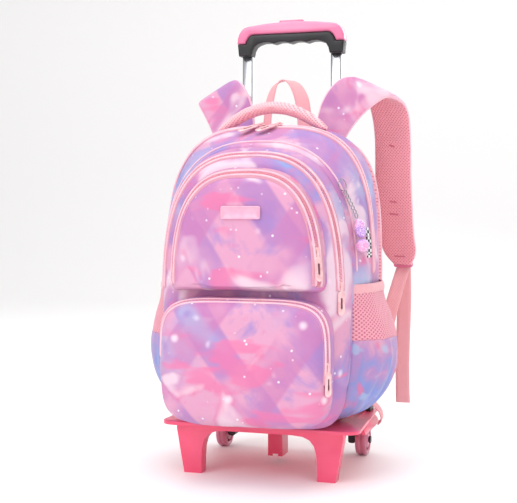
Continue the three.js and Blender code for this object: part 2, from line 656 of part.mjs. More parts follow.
function sidePiece(side, z0, z1, thick, rows) {
  const loops = sideRings(side, z0, z1, thick, rows);
  const n = loops[0].length;
  const points = loops.flat();
  const faces = [];
  for (let r = 0; r < loops.length - 1; r++) {
    for (let i = 0; i < n; i++) {
      const j = (i + 1) % n;
      faces.push(r * n + i, r * n + j, (r + 1) * n + j, r * n + i, (r + 1) * n + j, (r + 1) * n + i);
    }
  }
  const half = n / 2;
  for (const [r, turn] of [[0, 1], [loops.length - 1, -1]]) {
    for (let i = 0; i < half - 1; i++) {
      const quad = [r * n + i, r * n + n - 1 - i, r * n + n - 2 - i, r * n + i + 1];
      const order = turn > 0 ? quad : [...quad].reverse();
      faces.push(order[0], order[1], order[2], order[0], order[2], order[3]);
    }
  }
  if (side < 0) faces.reverse();
  return new THREE.BufferGeometry()
    .setAttribute("position", new THREE.Float32BufferAttribute(points.flatMap((p) => [p.x, p.y, p.z]), 3))
    .setIndex(faces);
}

const bandBottom = SIDE_TOP - SIDE_BAND;
const meshBottom = bandBottom - SIDE_MESH;
const SIDES = [
  { label: "left", side: -1 },
  { label: "right", side: 1 },
];
SIDES.forEach(({ label, side }) => {
  const base = sidePiece(side, SIDE_BOTTOM, meshBottom - SEAT_GAP, POCKET_CLOTH, 6);
  const mesh = sidePiece(side, meshBottom, bandBottom - SEAT_GAP, POCKET_CLOTH, 4);
  const band = sidePiece(side, bandBottom, SIDE_TOP, POCKET_CLOTH * 1.6, 1);
  add("side_pocket_base_" + label, trimmed(base, envelope), PRINT());
  add("side_pocket_mesh_" + label, trimmed(mesh, envelope), MESH());
  add("side_pocket_band_" + label, trimmed(band, envelope), PIPING());
});

// A flat or padded band through rows of edge pairs, smoothed along its length.
const WEB_SECTION = [[0, 0.5], [1, 0.5], [1, -0.5], [0, -0.5]];
const PAD_SECTION = [[0, 0], [0.06, 0.46], [0.5, 0.5], [0.94, 0.46], [1, 0], [0.94, -0.46], [0.5, -0.5],
  [0.06, -0.46]];

function ribbon(edges, thick, section, steps) {
  const near = new THREE.CatmullRomCurve3(edges.map(([a]) => a), false, "centripetal");
  const far = new THREE.CatmullRomCurve3(edges.map(([, b]) => b), false, "centripetal");
  const rings = [];
  for (let k = 0; k <= steps; k++) {
    const t = k / steps;
    const [a, b] = [near.getPoint(t), far.getPoint(t)];
    const along = near.getTangent(t).add(far.getTangent(t)).normalize();
    const across = new THREE.Vector3().subVectors(b, a);
    const normal = new THREE.Vector3().crossVectors(across, along).normalize();
    rings.push(section.map(([u, v]) =>
      a.clone().addScaledVector(across, u).addScaledVector(normal, v * thick)));
  }
  return skin([centroid(rings[0]), ...rings, centroid(rings.at(-1))]);
}

// Carry handle: a padded arch across the top.
const CARRY_STEPS = 12;
const CARRY_SIDES = 10;
const CARRY_SLOPE = 0.85; // steepness of its ends
// How far its ends run down into the bag before they are trimmed, as a share of its thickness.
const CARRY_TAIL = 0.35;
function carryHandle() {
  const foot = zAtTop(CARRY_SPAN, CARRY_Y);
  const rings = [];
  for (let k = 0; k <= CARRY_STEPS; k++) {
    const t = (Math.PI * k) / CARRY_STEPS;
    const at = new THREE.Vector3(-CARRY_SPAN * Math.cos(t), CARRY_Y, foot
      + CARRY_RISE * Math.pow(Math.sin(t), 1.9));
    if (k === 0 || k === CARRY_STEPS) at.z -= CARRY_TAIL * CARRY_THICK;
    const tangent = new THREE.Vector3(Math.sin(t), 0, Math.cos(t) * CARRY_SLOPE).normalize();
    const out = new THREE.Vector3(-tangent.z, 0, tangent.x);
    const size = (CARRY_THICK / 2) * (0.8 + 0.2 * Math.sin(t));
    const ring = [];
    for (let i = 0; i < CARRY_SIDES; i++) {
      const a = (2 * Math.PI * i) / CARRY_SIDES;
      ring.push(
        at.clone().addScaledVector(out, size * Math.sin(a))
          .add(new THREE.Vector3(0, 1.15 * size * Math.cos(a), 0)),
      );
    }
    rings.push(ring);
  }
  return skin([centroid(rings[0]), ...rings, centroid(rings.at(-1))]);
}

// Height of the bag's top surface at a place.
function zAtTop(x, y) {
  let [low, high] = [BAG_WIDE_Z, BAG_TOP];
  for (let k = 0; k < 30; k++) {
    const z = (low + high) / 2;
    if (bagHalfAt(y, z) > Math.abs(x)) low = z;
    else high = z;
  }
  return low;
}
add("carry_handle", trimmed(carryHandle(), envelope), AIRMESH());

// Hang loop: webbing folded into a loop behind the carry handle, turned edge-on at its left leg.
// x: share of LOOP_SPAN. rise: share of LOOP_RISE. turn: how far the webbing's width turns from X towards Y.
const LOOP_ROWS = [
  { x: 0.86, rise: -0.12, turn: 0.15 },
  { x: 0.8, rise: 0.3, turn: 0.2 },
  { x: 0.66, rise: 0.68, turn: 0.35 },
  { x: 0.34, rise: 0.95, turn: 0.8 },
  { x: -0.1, rise: 1.02, turn: 1.5 },
  { x: -0.48, rise: 0.93, turn: 2.0 },
  { x: -0.7, rise: 0.66, turn: 2.3 },
  { x: -0.82, rise: 0.3, turn: 2.3 },
  { x: -0.88, rise: -0.12, turn: 2.4 },
];
const LOOP_Y = FRONT_PLANE;
function loopRow({ x, rise, turn }) {
  const at = new THREE.Vector3(x * LOOP_SPAN, LOOP_Y, BAG_TOP + rise * LOOP_RISE);
  const half = new THREE.Vector3(Math.cos(turn), Math.sin(turn) * 0.7, 0).multiplyScalar(WEB_WIDE / 2);
  return [at.clone().sub(half), at.clone().add(half)];
}
add("hang_loop", trimmed(ribbon(LOOP_ROWS.map(loopRow), LOOP_THICK, WEB_SECTION, 20), envelope), WEBBING());

// Shoulder straps, by their inner and outer edges.
// x: share of BAG_HALF. y: share of STRAP_REACH. up: share of STRAP_RISE above the bag's top, used while
// down is absent.
// down: share of the way from the bag's top to STRAP_END_Z.
const STRAP_ROWS = {
  right: [
    { inner: { x: 0.3, y: -0.09, up: -0.12 }, outer: { x: 0.62, y: -0.09, up: -0.16 } },
    { inner: { x: 0.37, y: -0.08, up: 0.5 }, outer: { x: 0.72, y: -0.03, up: 0.14 } },
    { inner: { x: 0.5, y: -0.03, up: 0.9 }, outer: { x: 0.83, y: 0.1, up: 0.4 } },
    { inner: { x: 0.62, y: 0.12, up: 1.0 }, outer: { x: 0.97, y: 0.3, up: 0.62 } },
    { inner: { x: 0.68, y: 0.36, up: 0.93 }, outer: { x: 1.08, y: 0.52, up: 0.58 } },
    { inner: { x: 0.74, y: 0.6, up: 0.6 }, outer: { x: 1.13, y: 0.7, up: 0.42 } },
    { inner: { x: 0.78, y: 0.78, down: 0.0 }, outer: { x: 1.15, y: 0.8, down: 0.0 } },
    { inner: { x: 0.78, y: 0.88, down: 0.36 }, outer: { x: 1.15, y: 0.9, down: 0.36 } },
    { inner: { x: 0.8, y: 0.95, down: 0.73 }, outer: { x: 1.17, y: 0.96, down: 0.73 } },
    { inner: { x: 0.86, y: 0.98, down: 0.9 }, outer: { x: 1.19, y: 0.99, down: 0.9 } },
    { inner: { x: 0.96, y: 0.99, down: 0.99 }, outer: { x: 1.14, y: 1.0, down: 1.0 } },
  ],
  left: [
    { inner: { x: 0.3, y: -0.09, up: -0.12 }, outer: { x: 0.72, y: -0.09, up: -0.2 } },
    { inner: { x: 0.33, y: -0.09, up: 0.52 }, outer: { x: 0.83, y: 0.02, up: 0.2 } },
    { inner: { x: 0.46, y: -0.07, up: 0.97 }, outer: { x: 0.95, y: 0.14, up: 0.55 } },
    { inner: { x: 0.63, y: 0.11, up: 0.92 }, outer: { x: 0.97, y: 0.36, up: 0.58 } },
    { inner: { x: 0.64, y: 0.38, up: 0.85 }, outer: { x: 0.95, y: 0.56, up: 0.5 } },
    { inner: { x: 0.6, y: 0.64, up: 0.4 }, outer: { x: 0.93, y: 0.74, up: 0.25 } },
    { inner: { x: 0.56, y: 0.8, down: 0.05 }, outer: { x: 0.92, y: 0.82, down: 0.05 } },
    { inner: { x: 0.54, y: 0.9, down: 0.4 }, outer: { x: 0.91, y: 0.91, down: 0.4 } },
    { inner: { x: 0.55, y: 0.96, down: 0.75 }, outer: { x: 0.92, y: 0.97, down: 0.75 } },
    { inner: { x: 0.6, y: 0.98, down: 0.91 }, outer: { x: 0.94, y: 0.99, down: 0.91 } },
    { inner: { x: 0.69, y: 0.99, down: 0.99 }, outer: { x: 0.87, y: 1.0, down: 1.0 } },
  ],
};
const strapPoint = (side, { x, y, up, down }) =>
  new THREE.Vector3(
    side * x * BAG_HALF,
    y * STRAP_REACH,
    down === undefined ? BAG_TOP + up * STRAP_RISE : BAG_TOP - down * (BAG_TOP - STRAP_END_Z),
  );
const STRAP_STEPS = 20;
const ANCHOR_RISE = 42; // webbing's sewn end on the lower rear corner, above the bag's bottom
const ANCHOR_Z = BAG_BOTTOM + ANCHOR_RISE;

SIDES.forEach(({ label, side }) => {
  const rows = STRAP_ROWS[label].map(({ inner, outer }) =>
    [strapPoint(side, inner), strapPoint(side, outer)]);
  const strap = ribbon(rows, STRAP_THICK, PAD_SECTION, STRAP_STEPS);
  add("strap_" + label, trimmed(strap, envelope), MESH());

  // Ladder-lock buckle behind the strap's end, the webbing's free tail, and its anchored run to the bag.
  const [tipIn, tipOut] = rows.at(-1);
  const centreX = (tipIn.x + tipOut.x) / 2;
  const behind = STRAP_REACH + STRAP_THICK / 2 + SEAT_GAP;
  const frame = roundedRect(WEB_WIDE + 8, BUCKLE_HIGH, 4);
  frame.holes.push(roundedRect(WEB_WIDE + 1, BUCKLE_HIGH - 8, 1));
  const bars = block(-WEB_WIDE / 2 - 2, WEB_WIDE / 2 + 2, behind, behind + BUCKLE_THICK, -2, 2);
  const buckleZ = STRAP_END_Z + BUCKLE_HIGH / 2 - 4;
  add(
    "strap_buckle_" + label,
    join(frontView(frame, behind, BUCKLE_THICK, 3), bars).translate(centreX, 0, buckleZ),
    COVER(),
  );
  const tailY = behind + BUCKLE_THICK + SEAT_GAP;
  const tail = (y, z, lean = 0) => [
    new THREE.Vector3(centreX - WEB_WIDE / 2 + lean, y, z),
    new THREE.Vector3(centreX + WEB_WIDE / 2 + lean, y, z),
  ];
  const tailRows = [
    tail(tailY + WEB_THICK / 2, buckleZ + BUCKLE_HIGH / 2),
    tail(tailY + WEB_THICK / 2, buckleZ - BUCKLE_HIGH / 2),
    tail(tailY - BUCKLE_THICK / 2, (buckleZ + WEB_END_Z) / 2),
    tail(tailY - BUCKLE_THICK / 2, WEB_END_Z),
  ];
  add("webbing_tail_" + label, ribbon(tailRows, WEB_THICK, WEB_SECTION, 12), WEBBING());
  const anchorX = side * (BAG_HALF - WEB_WIDE);
  const slot = behind + WEB_THICK / 2 - BUCKLE_THICK;
  const anchorTop = buckleZ - BUCKLE_HIGH / 2 - 4 * SEAT_GAP;
  const anchor = (x, y, z) => [
    new THREE.Vector3(x - WEB_WIDE / 2, y, z),
    new THREE.Vector3(x + WEB_WIDE / 2, y, z),
  ];
  const anchorRows = [
    anchor(centreX, slot + BUCKLE_THICK, anchorTop),
    anchor(0.6 * centreX + 0.4 * anchorX, 0.72 * slot, 0.66 * anchorTop + 0.34 * ANCHOR_Z),
    anchor(0.3 * centreX + 0.7 * anchorX, 0.4 * slot, 0.3 * anchorTop + 0.7 * ANCHOR_Z),
    anchor(anchorX, BACK_Y - WEB_THICK, ANCHOR_Z),
  ];
  add("webbing_anchor_" + label, trimmed(ribbon(anchorRows, WEB_THICK, WEB_SECTION, 12), envelope),
    WEBBING());
});

// Two ventilated pads on the back panel, between the straps, and the sleeve that holds the bag to the handle.
const PAD_THICK = 7;
const PAD_HALF = 44;
const PAD_ROWS = [
  { name: "back_pad_lower", low: 0.22, high: 0.52 },
  { name: "back_pad_upper", low: 0.58, high: 0.88 },
];
PAD_ROWS.forEach(({ name, low, high }) => {
  const tall = (high - low) * (BAG_TOP - BAG_BOTTOM);
  const middleZ = BAG_BOTTOM + ((low + high) / 2) * (BAG_TOP - BAG_BOTTOM);
  const pad = frontView(roundedRect(2 * PAD_HALF, tall, 22), BACK_Y + SEAT_GAP, PAD_THICK, 3, 2.2);
  add(name, pad.translate(0, 0, middleZ), AIRMESH());
});
const SLEEVE_Z = 395;
const SLEEVE_HIGH = 64;
const sleeveHalf = TUBE_HALF_SPAN + OUTER_WIDE / 2 + 4;
const sleeveBack = TUBE_Y + OUTER_DEEP / 2 + 1;
const sleeveOuter = roundedRect(2 * (sleeveHalf + CLOTH), 2 * (sleeveBack + CLOTH - BACK_Y), 7);
sleeveOuter.holes.push(roundedRect(2 * sleeveHalf, 2 * (sleeveBack - BACK_Y), 5));
const sleeveRing = extruded(sleeveOuter, SLEEVE_HIGH, 4).translate(0, BACK_Y, SLEEVE_Z - SLEEVE_HIGH / 2);
const sleeveTrim = block(-BAG_HALF, BAG_HALF, BACK_Y - BAG_HALF, BACK_Y + SEAT_GAP, BAG_BOTTOM, BAG_TOP);
add("handle_sleeve", trimmed(sleeveRing, sleeveTrim), PRINT());

// Tray: plate, skirt, front apron with two legs, centre post and fenders, one hollow moulding.
const trayMiddleY = (TRAY_FRONT_Y + TRAY_REAR_Y) / 2;
const trayDeep = TRAY_REAR_Y - TRAY_FRONT_Y;
const plateOutline = roundedRect(2 * TRAY_HALF, trayDeep, TRAY_CORNER, TRAY_REAR_CORNER, 2 * TRAY_REAR_HALF);
const skirtOutline = roundedRect(2 * LEG_TOP_HALF, trayDeep - 2 * LEG_SETBACK, TRAY_CORNER - LEG_SETBACK);
skirtOutline.holes.push(
  roundedRect(
    2 * (LEG_TOP_HALF - MOULD_WALL), trayDeep - 2 * LEG_SETBACK - 2 * MOULD_WALL,
      TRAY_CORNER - LEG_SETBACK - MOULD_WALL,
  ),
);
const plate = extruded(plateOutline, FLANGE, 6).translate(0, trayMiddleY, TRAY_TOP - FLANGE);
const skirt = extruded(skirtOutline, SKIRT - 1, 6).translate(0, trayMiddleY, TRAY_TOP - SKIRT);

function legShape(grow) {
  const crown = TRAY_TOP - SKIRT;
  const top = TRAY_TOP - FLANGE + grow;
  const footInner = LEG_FOOT_HALF - LEG_FOOT;
  const shape = new THREE.Shape();
  shape.moveTo(LEG_TOP_HALF + grow, top);
  shape.lineTo(LEG_TOP_HALF + grow, crown);
  shape.lineTo(LEG_FOOT_HALF + grow, -grow);
  shape.lineTo(footInner - grow, -grow);
  shape.bezierCurveTo(footInner - grow, 0.75 * crown, footInner - grow, crown - grow, ARCH_HALF,
    crown - grow);
  shape.lineTo(ARCH_HALF, top);
  return shape;
}

const mirrored = (geometry) => {
  const flipped = (geometry.index ? geometry.toNonIndexed() : geometry.clone()).scale(-1, 1, 1);
  const p = flipped.attributes.position.array;
  for (let i = 0; i < p.length; i += 9)
    for (let k = 0; k < 3; k++) [p[i + 3 + k], p[i + 6 + k]] = [p[i + 6 + k], p[i + 3 + k]];
  return flipped;
};

// A leg with its half of the arch, hollow from behind.
function leg(side) {
  const frontY = TRAY_FRONT_Y + LEG_SETBACK;
  const solid = frontView(legShape(0), frontY, LEG_DEPTH, 6);
  const hollow = frontView(legShape(-MOULD_WALL), frontY + MOULD_WALL, LEG_DEPTH, 6);
  return side > 0 ? carved(solid, hollow) : carved(mirrored(solid), mirrored(hollow));
}

const post = block(
  -POST_WIDE / 2, POST_WIDE / 2, POST_FRONT_Y, POST_FRONT_Y + POST_DEPTH, POST_CLEAR, TRAY_TOP - FLANGE + 1,
);
const postNotch = block(
  -POST_WIDE / 5, POST_WIDE / 5, POST_FRONT_Y - 1, POST_FRONT_Y + POST_DEPTH + 1, 0, POST_CLEAR
    + POST_NOTCH / 2,
);
const postHollow = block(
  -POST_WIDE / 2 + MOULD_WALL, POST_WIDE / 2 - MOULD_WALL, POST_FRONT_Y + MOULD_WALL, POST_FRONT_Y
    + POST_DEPTH - MOULD_WALL,
  0, TRAY_TOP - 2 * FLANGE,
);

// Fender: the plate's rear corners curve down over the wheels.
function fender() {
  const shape = new THREE.Shape();
  const low = TRAY_TOP - FENDER_DROP;
  shape.moveTo(FENDER_INNER, STEP_Z - FLANGE);
  shape.quadraticCurveTo(TRAY_REAR_HALF - 3 * FLANGE, STEP_Z - FLANGE, TRAY_REAR_HALF - FLANGE, low);
  shape.lineTo(TRAY_REAR_HALF, low);
  shape.quadraticCurveTo(TRAY_REAR_HALF - FLANGE, TRAY_TOP - FLANGE, FENDER_INNER, TRAY_TOP - 1);
  return frontView(shape, FENDER_FRONT_Y, TRAY_REAR_Y - TRAY_REAR_CORNER / 3 - FENDER_FRONT_Y, 5);
}
const fenderNotch = block(
  TRAY_REAR_HALF - TRAY_REAR_CORNER, TRAY_HALF + 1, FENDER_FRONT_Y, TRAY_REAR_Y + 1,
    TRAY_TOP - FLANGE / 2, TRAY_TOP + 1,
);
const stepCut = block(-BAR_HALF - SEAT_GAP, BAR_HALF + SEAT_GAP, STEP_Y, TRAY_REAR_Y + 1, STEP_Z,
  TRAY_TOP + 1);
const stepFloor = block(-LEG_TOP_HALF, LEG_TOP_HALF, STEP_Y - FLANGE, TRAY_REAR_Y - LEG_SETBACK,
  STEP_Z - FLANGE, STEP_Z + EPS);
const stepRiser = block(-LEG_TOP_HALF, LEG_TOP_HALF, STEP_Y - FLANGE, STEP_Y, STEP_Z - FLANGE,
  TRAY_TOP - FLANGE / 2);
const rightFender = fender();
const housingX = WHEEL_HALF_TRACK - WHEEL_WIDE / 2 - 2 * RUN_GAP - HOUSING_WIDE / 2;
const shellOnly = joined(
  carved(plate, fenderNotch, mirrored(fenderNotch)),
  skirt, leg(1), leg(-1), rightFender, mirrored(rightFender), stepFloor, stepRiser,
);
const tray = joined(carved(shellOnly, stepCut), carved(post, postNotch, postHollow));
const wheelSpace = rod(WHEEL_R + 2, WHEEL_WIDE + 4, 24)
  .rotateZ(Math.PI / 2)
  .translate(WHEEL_HALF_TRACK, WHEEL_Y, FLOOR_TO_AXLE);
const housingSpace = block(
  housingX - HOUSING_WIDE / 2 - SEAT_GAP, housingX + HOUSING_WIDE / 2 + SEAT_GAP,
  WHEEL_Y - HOUSING_LONG / 2 - SEAT_GAP, WHEEL_Y + HOUSING_LONG / 2 + SEAT_GAP, 0, STEP_Z - FLANGE,
);
add(
  "base_tray",
  trimmed(tray, wheelSpace, mirrored(wheelSpace), housingSpace, mirrored(housingSpace)),
  TRAY(),
);

// Rear bar: holds the tubes and carries the axle housings under the tray.
const barFrontY = STEP_Y + 2;
add(
  "rear_bar",
  frontView(roundedRect(2 * BAR_HALF, BAR_HIGH, 4), barFrontY, BAR_DEEP, 3, 1.2)
    .translate(0, 0, BAR_TOP - BAR_HIGH / 2),
  BLACK(),
);

// Wheels, hubs, stub axles and their housings.
const profile = (points) => points.map(([r, x]) => new THREE.Vector2(r, x));
function wheel() {
  const w = WHEEL_WIDE / 2;
  const bore = HUB_R + SEAT_GAP;
  return new THREE.LatheGeometry(
    profile([
      [bore, -w * 0.8], [WHEEL_R * 0.72, -w], [WHEEL_R * 0.9, -w * 0.85], [WHEEL_R, -w * 0.35],
        [WHEEL_R, w * 0.35],
      [WHEEL_R * 0.9, w * 0.85], [WHEEL_R * 0.72, w], [bore, w * 0.8], [bore, -w * 0.8],
    ]),
    24,
  );
}
function hub() {
  const w = WHEEL_WIDE / 2 + 0.2;
  const bore = AXLE_R + RUN_GAP;
  return new THREE.LatheGeometry(
    profile([[bore, -w], [HUB_R * 0.8, -w], [HUB_R, -w * 0.8], [HUB_R, w * 0.8], [HUB_R * 0.8, w],
      [bore, w], [bore, -w]]),
    16,
  );
}
SIDES.forEach(({ label, side }) => {
  const turn = (geometry) =>
    geometry.rotateZ(-Math.PI / 2).translate(side * WHEEL_HALF_TRACK, WHEEL_Y, FLOOR_TO_AXLE);
  add("wheel_" + label, turn(wheel()), WHEEL());
  add("hub_" + label, turn(hub()), COVER());
  const inner = housingX - HOUSING_WIDE / 2;
  const outer = WHEEL_HALF_TRACK + WHEEL_WIDE / 2 + 2 * RUN_GAP;
  const [housingTop, housingLow] = [STEP_Z - FLANGE - SEAT_GAP, FLOOR_TO_AXLE - HOUSING_LOW];
  const housing = frontView(
    roundedRect(HOUSING_WIDE, housingTop - housingLow, 4), WHEEL_Y - HOUSING_LONG / 2, HOUSING_LONG, 3,
  ).translate(side * housingX, 0, (housingTop + housingLow) / 2);
  const pin = rod(AXLE_R, outer - inner - 2, 16).rotateZ(Math.PI / 2);
  const cap = rod(AXLE_R * 2, 3, 16).rotateZ(Math.PI / 2)
    .translate(side * ((outer - inner - 2) / 2 + 1.5), 0, 0);
  const axle = join(pin, cap).translate(side * ((outer + inner) / 2 - 1 + 2), WHEEL_Y, FLOOR_TO_AXLE);
  add("axle_housing_" + label, join(housing, axle), BLACK());
});

// Telescopic tubes: three stages a side, each inside the last.
const tube = (wide, deep, low, high, side) => {
  const shape = roundedRect(wide, deep, 2.4);
  shape.holes.push(roundedRect(wide - 2 * TUBE_WALL, deep - 2 * TUBE_WALL, 1.4));
  return extruded(shape, high - low, 2).translate(side * TUBE_HALF_SPAN, TUBE_Y, low);
};
const innerTop = GRIP_BOTTOM - SEAT_GAP;
const innerLow = BAR_TOP + 3 * STAGE_STEP + DRAWN;
SIDES.forEach(({ label, side }) => {
  add("outer_tube_" + label, tube(OUTER_WIDE, OUTER_DEEP, BAR_TOP + SEAT_GAP, OUTER_TOP, side), METAL());
  add("middle_tube_" + label,
    tube(MIDDLE_WIDE, MIDDLE_DEEP, BAR_TOP + STAGE_STEP, MIDDLE_TOP, side), METAL());
  add("inner_tube_" + label, tube(TUBE_WIDE, TUBE_DEEP, innerLow, innerTop, side), METAL());
});

// Collar: joins the tops of the two outer tubes.
const collarHalf = TUBE_HALF_SPAN + OUTER_WIDE / 2 + COLLAR_LIP;
const collarDeep = OUTER_DEEP + 2 * COLLAR_LIP;
const collarZ = OUTER_TOP - COLLAR_HIGH + 2;
const collar = extruded(roundedRect(2 * collarHalf, collarDeep, 6), COLLAR_HIGH, 3)
  .translate(0, TUBE_Y, collarZ);
const collarHoles = SIDES.map(({ side }) =>
  extruded(roundedRect(OUTER_WIDE + 2 * SEAT_GAP, OUTER_DEEP + 2 * SEAT_GAP, 2.4), COLLAR_HIGH + 2, 2)
    .translate(side * TUBE_HALF_SPAN, TUBE_Y, collarZ - 1),
);
add("tube_collar", cut(collar, ...collarHoles), BLACK());

// Grip: black bar with finger scallops between two end blocks, a pink cover and a release button.
function gripBar() {
  const inner = GRIP_HALF - GRIP_LEG;
  const shape = new THREE.Shape();
  const top = GRIP_UNDER + GRIP_BAR;
  const step = GRIP_UNDER + 1;
  shape.moveTo(GRIP_HALF - 1, step);
  shape.lineTo(GRIP_HALF - 3, GRIP_BOTTOM);
  shape.lineTo(inner + 2, GRIP_BOTTOM);
  shape.quadraticCurveTo(inner, GRIP_UNDER - 3, inner - 9, GRIP_UNDER);
  const scallops = 4;
  const span = 2 * (inner - 9);
  for (let k = 0; k < scallops; k++) {
    const from = inner - 9 - (span * k) / scallops;
    const to = from - span / scallops;
    shape.quadraticCurveTo((from + to) / 2, GRIP_UNDER + 2 * GRIP_SCALLOP, to, GRIP_UNDER);
  }
  shape.quadraticCurveTo(-inner, GRIP_UNDER - 3, -inner - 2, GRIP_BOTTOM);
  shape.lineTo(-GRIP_HALF + 3, GRIP_BOTTOM);
  shape.lineTo(-GRIP_HALF + 1, step);
  shape.lineTo(-GRIP_HALF + GRIP_LEG * 0.55, step);
  shape.quadraticCurveTo(-GRIP_HALF + GRIP_LEG * 0.75, top, -inner, top);
  shape.lineTo(inner, top);
  shape.quadraticCurveTo(GRIP_HALF - GRIP_LEG * 0.75, top, GRIP_HALF - GRIP_LEG * 0.55, step);
  return frontView(shape, TUBE_Y - GRIP_DEEP / 2, GRIP_DEEP, 3, 2.4);
}

function gripCover() {
  const inner = GRIP_HALF - GRIP_LEG;
  const shape = new THREE.Shape();
  const low = GRIP_UNDER + 1 + SEAT_GAP;
  const under = GRIP_UNDER + GRIP_BAR + SEAT_GAP;
  const top = under + GRIP_COVER;
  shape.moveTo(GRIP_HALF, low);
  shape.lineTo(GRIP_HALF - GRIP_LEG * 0.55 + 0.6, low);
  shape.quadraticCurveTo(GRIP_HALF - GRIP_LEG * 0.75 + 0.6, under, inner, under);
  shape.lineTo(-inner, under);
  shape.quadraticCurveTo(-GRIP_HALF + GRIP_LEG * 0.75 - 0.6, under, -GRIP_HALF + GRIP_LEG * 0.55 - 0.6, low);
  shape.lineTo(-GRIP_HALF, low);
  shape.quadraticCurveTo(-GRIP_HALF + 1, top - 7, -inner - 6, top - 5);
  shape.quadraticCurveTo(0, top + 5, inner + 6, top - 5);
  shape.quadraticCurveTo(GRIP_HALF - 1, top - 7, GRIP_HALF, low);
  return frontView(shape, TUBE_Y - GRIP_DEEP / 2 - 0.6, GRIP_DEEP + 1.2, 5, 3);
}
const coverTop = GRIP_UNDER + GRIP_BAR + SEAT_GAP + GRIP_COVER;
const buttonLow = coverTop - BUTTON_TRAVEL - 3 * BUTTON_PROUD;
const buttonPocket = extruded(
  roundedRect(2 * (BUTTON_HALF + RUN_GAP), BUTTON_DEEP + 2 * RUN_GAP, 5), coverTop - buttonLow
    + BUTTON_TRAVEL + 10, 4,
).translate(0, TUBE_Y, buttonLow - BUTTON_TRAVEL);
add("grip_bar", gripBar(), BLACK());
add("grip_cover", cut(gripCover(), buttonPocket), COVER());
add(
  "grip_button",
  extruded(roundedRect(2 * BUTTON_HALF, BUTTON_DEEP, 5), coverTop + BUTTON_PROUD - buttonLow, 4, 1)
    .translate(0, TUBE_Y, buttonLow + SEAT_GAP),
  COVER(),
);

// Webbing ties from the bag's lower rear corners to the tray's fenders.
// out: past the fender's edge. y: share of the wheel's place. z: share of the bag's bottom height.
const TIE_ROWS = [
  { out: -20, y: 0.05, z: 1.36 },
  { out: -4, y: 0.34, z: 1.17 },
  { out: 6.5, y: 0.62, z: 0.98 },
  { out: 8.5, y: 0.78, z: 0.79 },
  { out: 2.4, y: 0.8, z: 0.7 },
];
SIDES.forEach(({ label, side }) => {
  const rows = TIE_ROWS.map(({ out, y, z }) => {
    const at = new THREE.Vector3(side * (TRAY_REAR_HALF + out), y * WHEEL_Y, z * BAG_BOTTOM);
    const half = new THREE.Vector3(0.15 * side, 0.8, 0.55).normalize().multiplyScalar(TIE_WIDE / 2);
    return [at.clone().sub(half), at.clone().add(half)];
  });
  add("tray_tie_" + label, trimmed(ribbon(rows, WEB_THICK, WEB_SECTION, 12), envelope), WEBBING());
});

// Charm on the right: ring and chain, two plain balls and a checked wrist loop, hung down the seam.
const charmTopZ = BAG_TOP - CHARM_BELOW;
const seats = [0, 0.5, 1].map((share) =>
  sideSeat(frontRings[2], frontRings[3], charmTopZ - share * CHARM_LONG));
const hangLine = new THREE.Vector3().subVectors(seats[2].at, seats[0].at).normalize();
const charmOut = seats[1].normal.clone().projectOnPlane(hangLine).normalize();
const charmAcross = new THREE.Vector3().crossVectors(charmOut, hangLine);
const seam = new THREE.CatmullRomCurve3(seats.map(({ at }) => at), false, "catmullrom", 0.5);
const hung = (share, out, shift = 0) =>
  seam.getPoint(share).addScaledVector(charmOut, out + PIPING_PROUD).addScaledVector(charmAcross, shift);
const faceOut = new THREE.Matrix4().makeBasis(charmAcross, hangLine.clone().negate(), charmOut);
const hoop = (radius, at) =>
  new THREE.TorusGeometry(radius, CHARM_WIRE, 4, 12).applyMatrix4(faceOut).translate(at.x, at.y, at.z);
const share = (length) => (-hangLine.z * length) / CHARM_LONG;
const chainStart = share(2 * CHARM_RING);
const chainEnd = chainStart + share(CHARM_CHAIN);
const links = [hoop(CHARM_RING, hung(share(CHARM_RING), CHARM_STAND))];
const LINKS = Math.ceil(CHARM_CHAIN / (1.8 * CHARM_LINK));
const beadOut = CHARM_BALL + CHARM_WIRE; // the beads' centres off the cloth
const linkShare = (k) => (k + 0.3) / LINKS;
for (let k = 0; k < LINKS; k++) {
  const at = chainStart + (chainEnd - chainStart) * linkShare(k);
  links.push(hoop(CHARM_LINK, hung(at, CHARM_STAND + (beadOut - CHARM_STAND) * linkShare(k))));
}
const chainFoot = chainStart + (chainEnd - chainStart) * linkShare(LINKS - 1)
  + share(CHARM_LINK + CHARM_WIRE);
add("charm_chain", join(...links), METAL());
const bobShare = chainFoot + share(CHARM_BOB_LONG - 3 * SEAT_GAP); // its flat facets fall short of its radius
const ballShare = bobShare + share(CHARM_BOB_LONG + CHARM_BALL + SEAT_GAP);
const ball = (radius, long, at) =>
  new THREE.IcosahedronGeometry(radius, 2).scale(1, long / radius, 1).applyMatrix4(faceOut)
    .translate(at.x, at.y, at.z);
add("charm_bob", ball(CHARM_BOB, CHARM_BOB_LONG, hung(bobShare, beadOut)), GLITTER());
add("charm_ball", ball(CHARM_BALL, CHARM_BALL, hung(ballShare, beadOut)), GLITTER());
const LOOP_STATIONS = [
  { at: bobShare, beside: CHARM_BOB },
  { at: (bobShare + ballShare) / 2, beside: CHARM_BALL },
  { at: ballShare + share(CHARM_BALL + CHARM_STRAP), beside: CHARM_BALL },
];
const loopRows = LOOP_STATIONS.map(({ at, beside }) =>
  [0, 1].map((edge) => hung(at, beadOut, beside + 2 * SEAT_GAP + edge * CHARM_STRAP)),
);
add("charm_strap", ribbon(loopRows, 2 * CHARM_WIRE, WEB_SECTION, 6), BLACK());

// The origin is the middle of the whole thing's footprint, on the floor.
const bounds = new THREE.Box3().setFromObject(bag);
const centre = bounds.getCenter(new THREE.Vector3());
bag.position.set(-centre.x, -centre.y, -bounds.min.z);

export default bag;
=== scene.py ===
# A child's wheeled school backpack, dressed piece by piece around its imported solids.
# Metres, +Z up, front towards -Y.
import math

import bmesh
import bpy
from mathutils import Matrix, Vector, noise


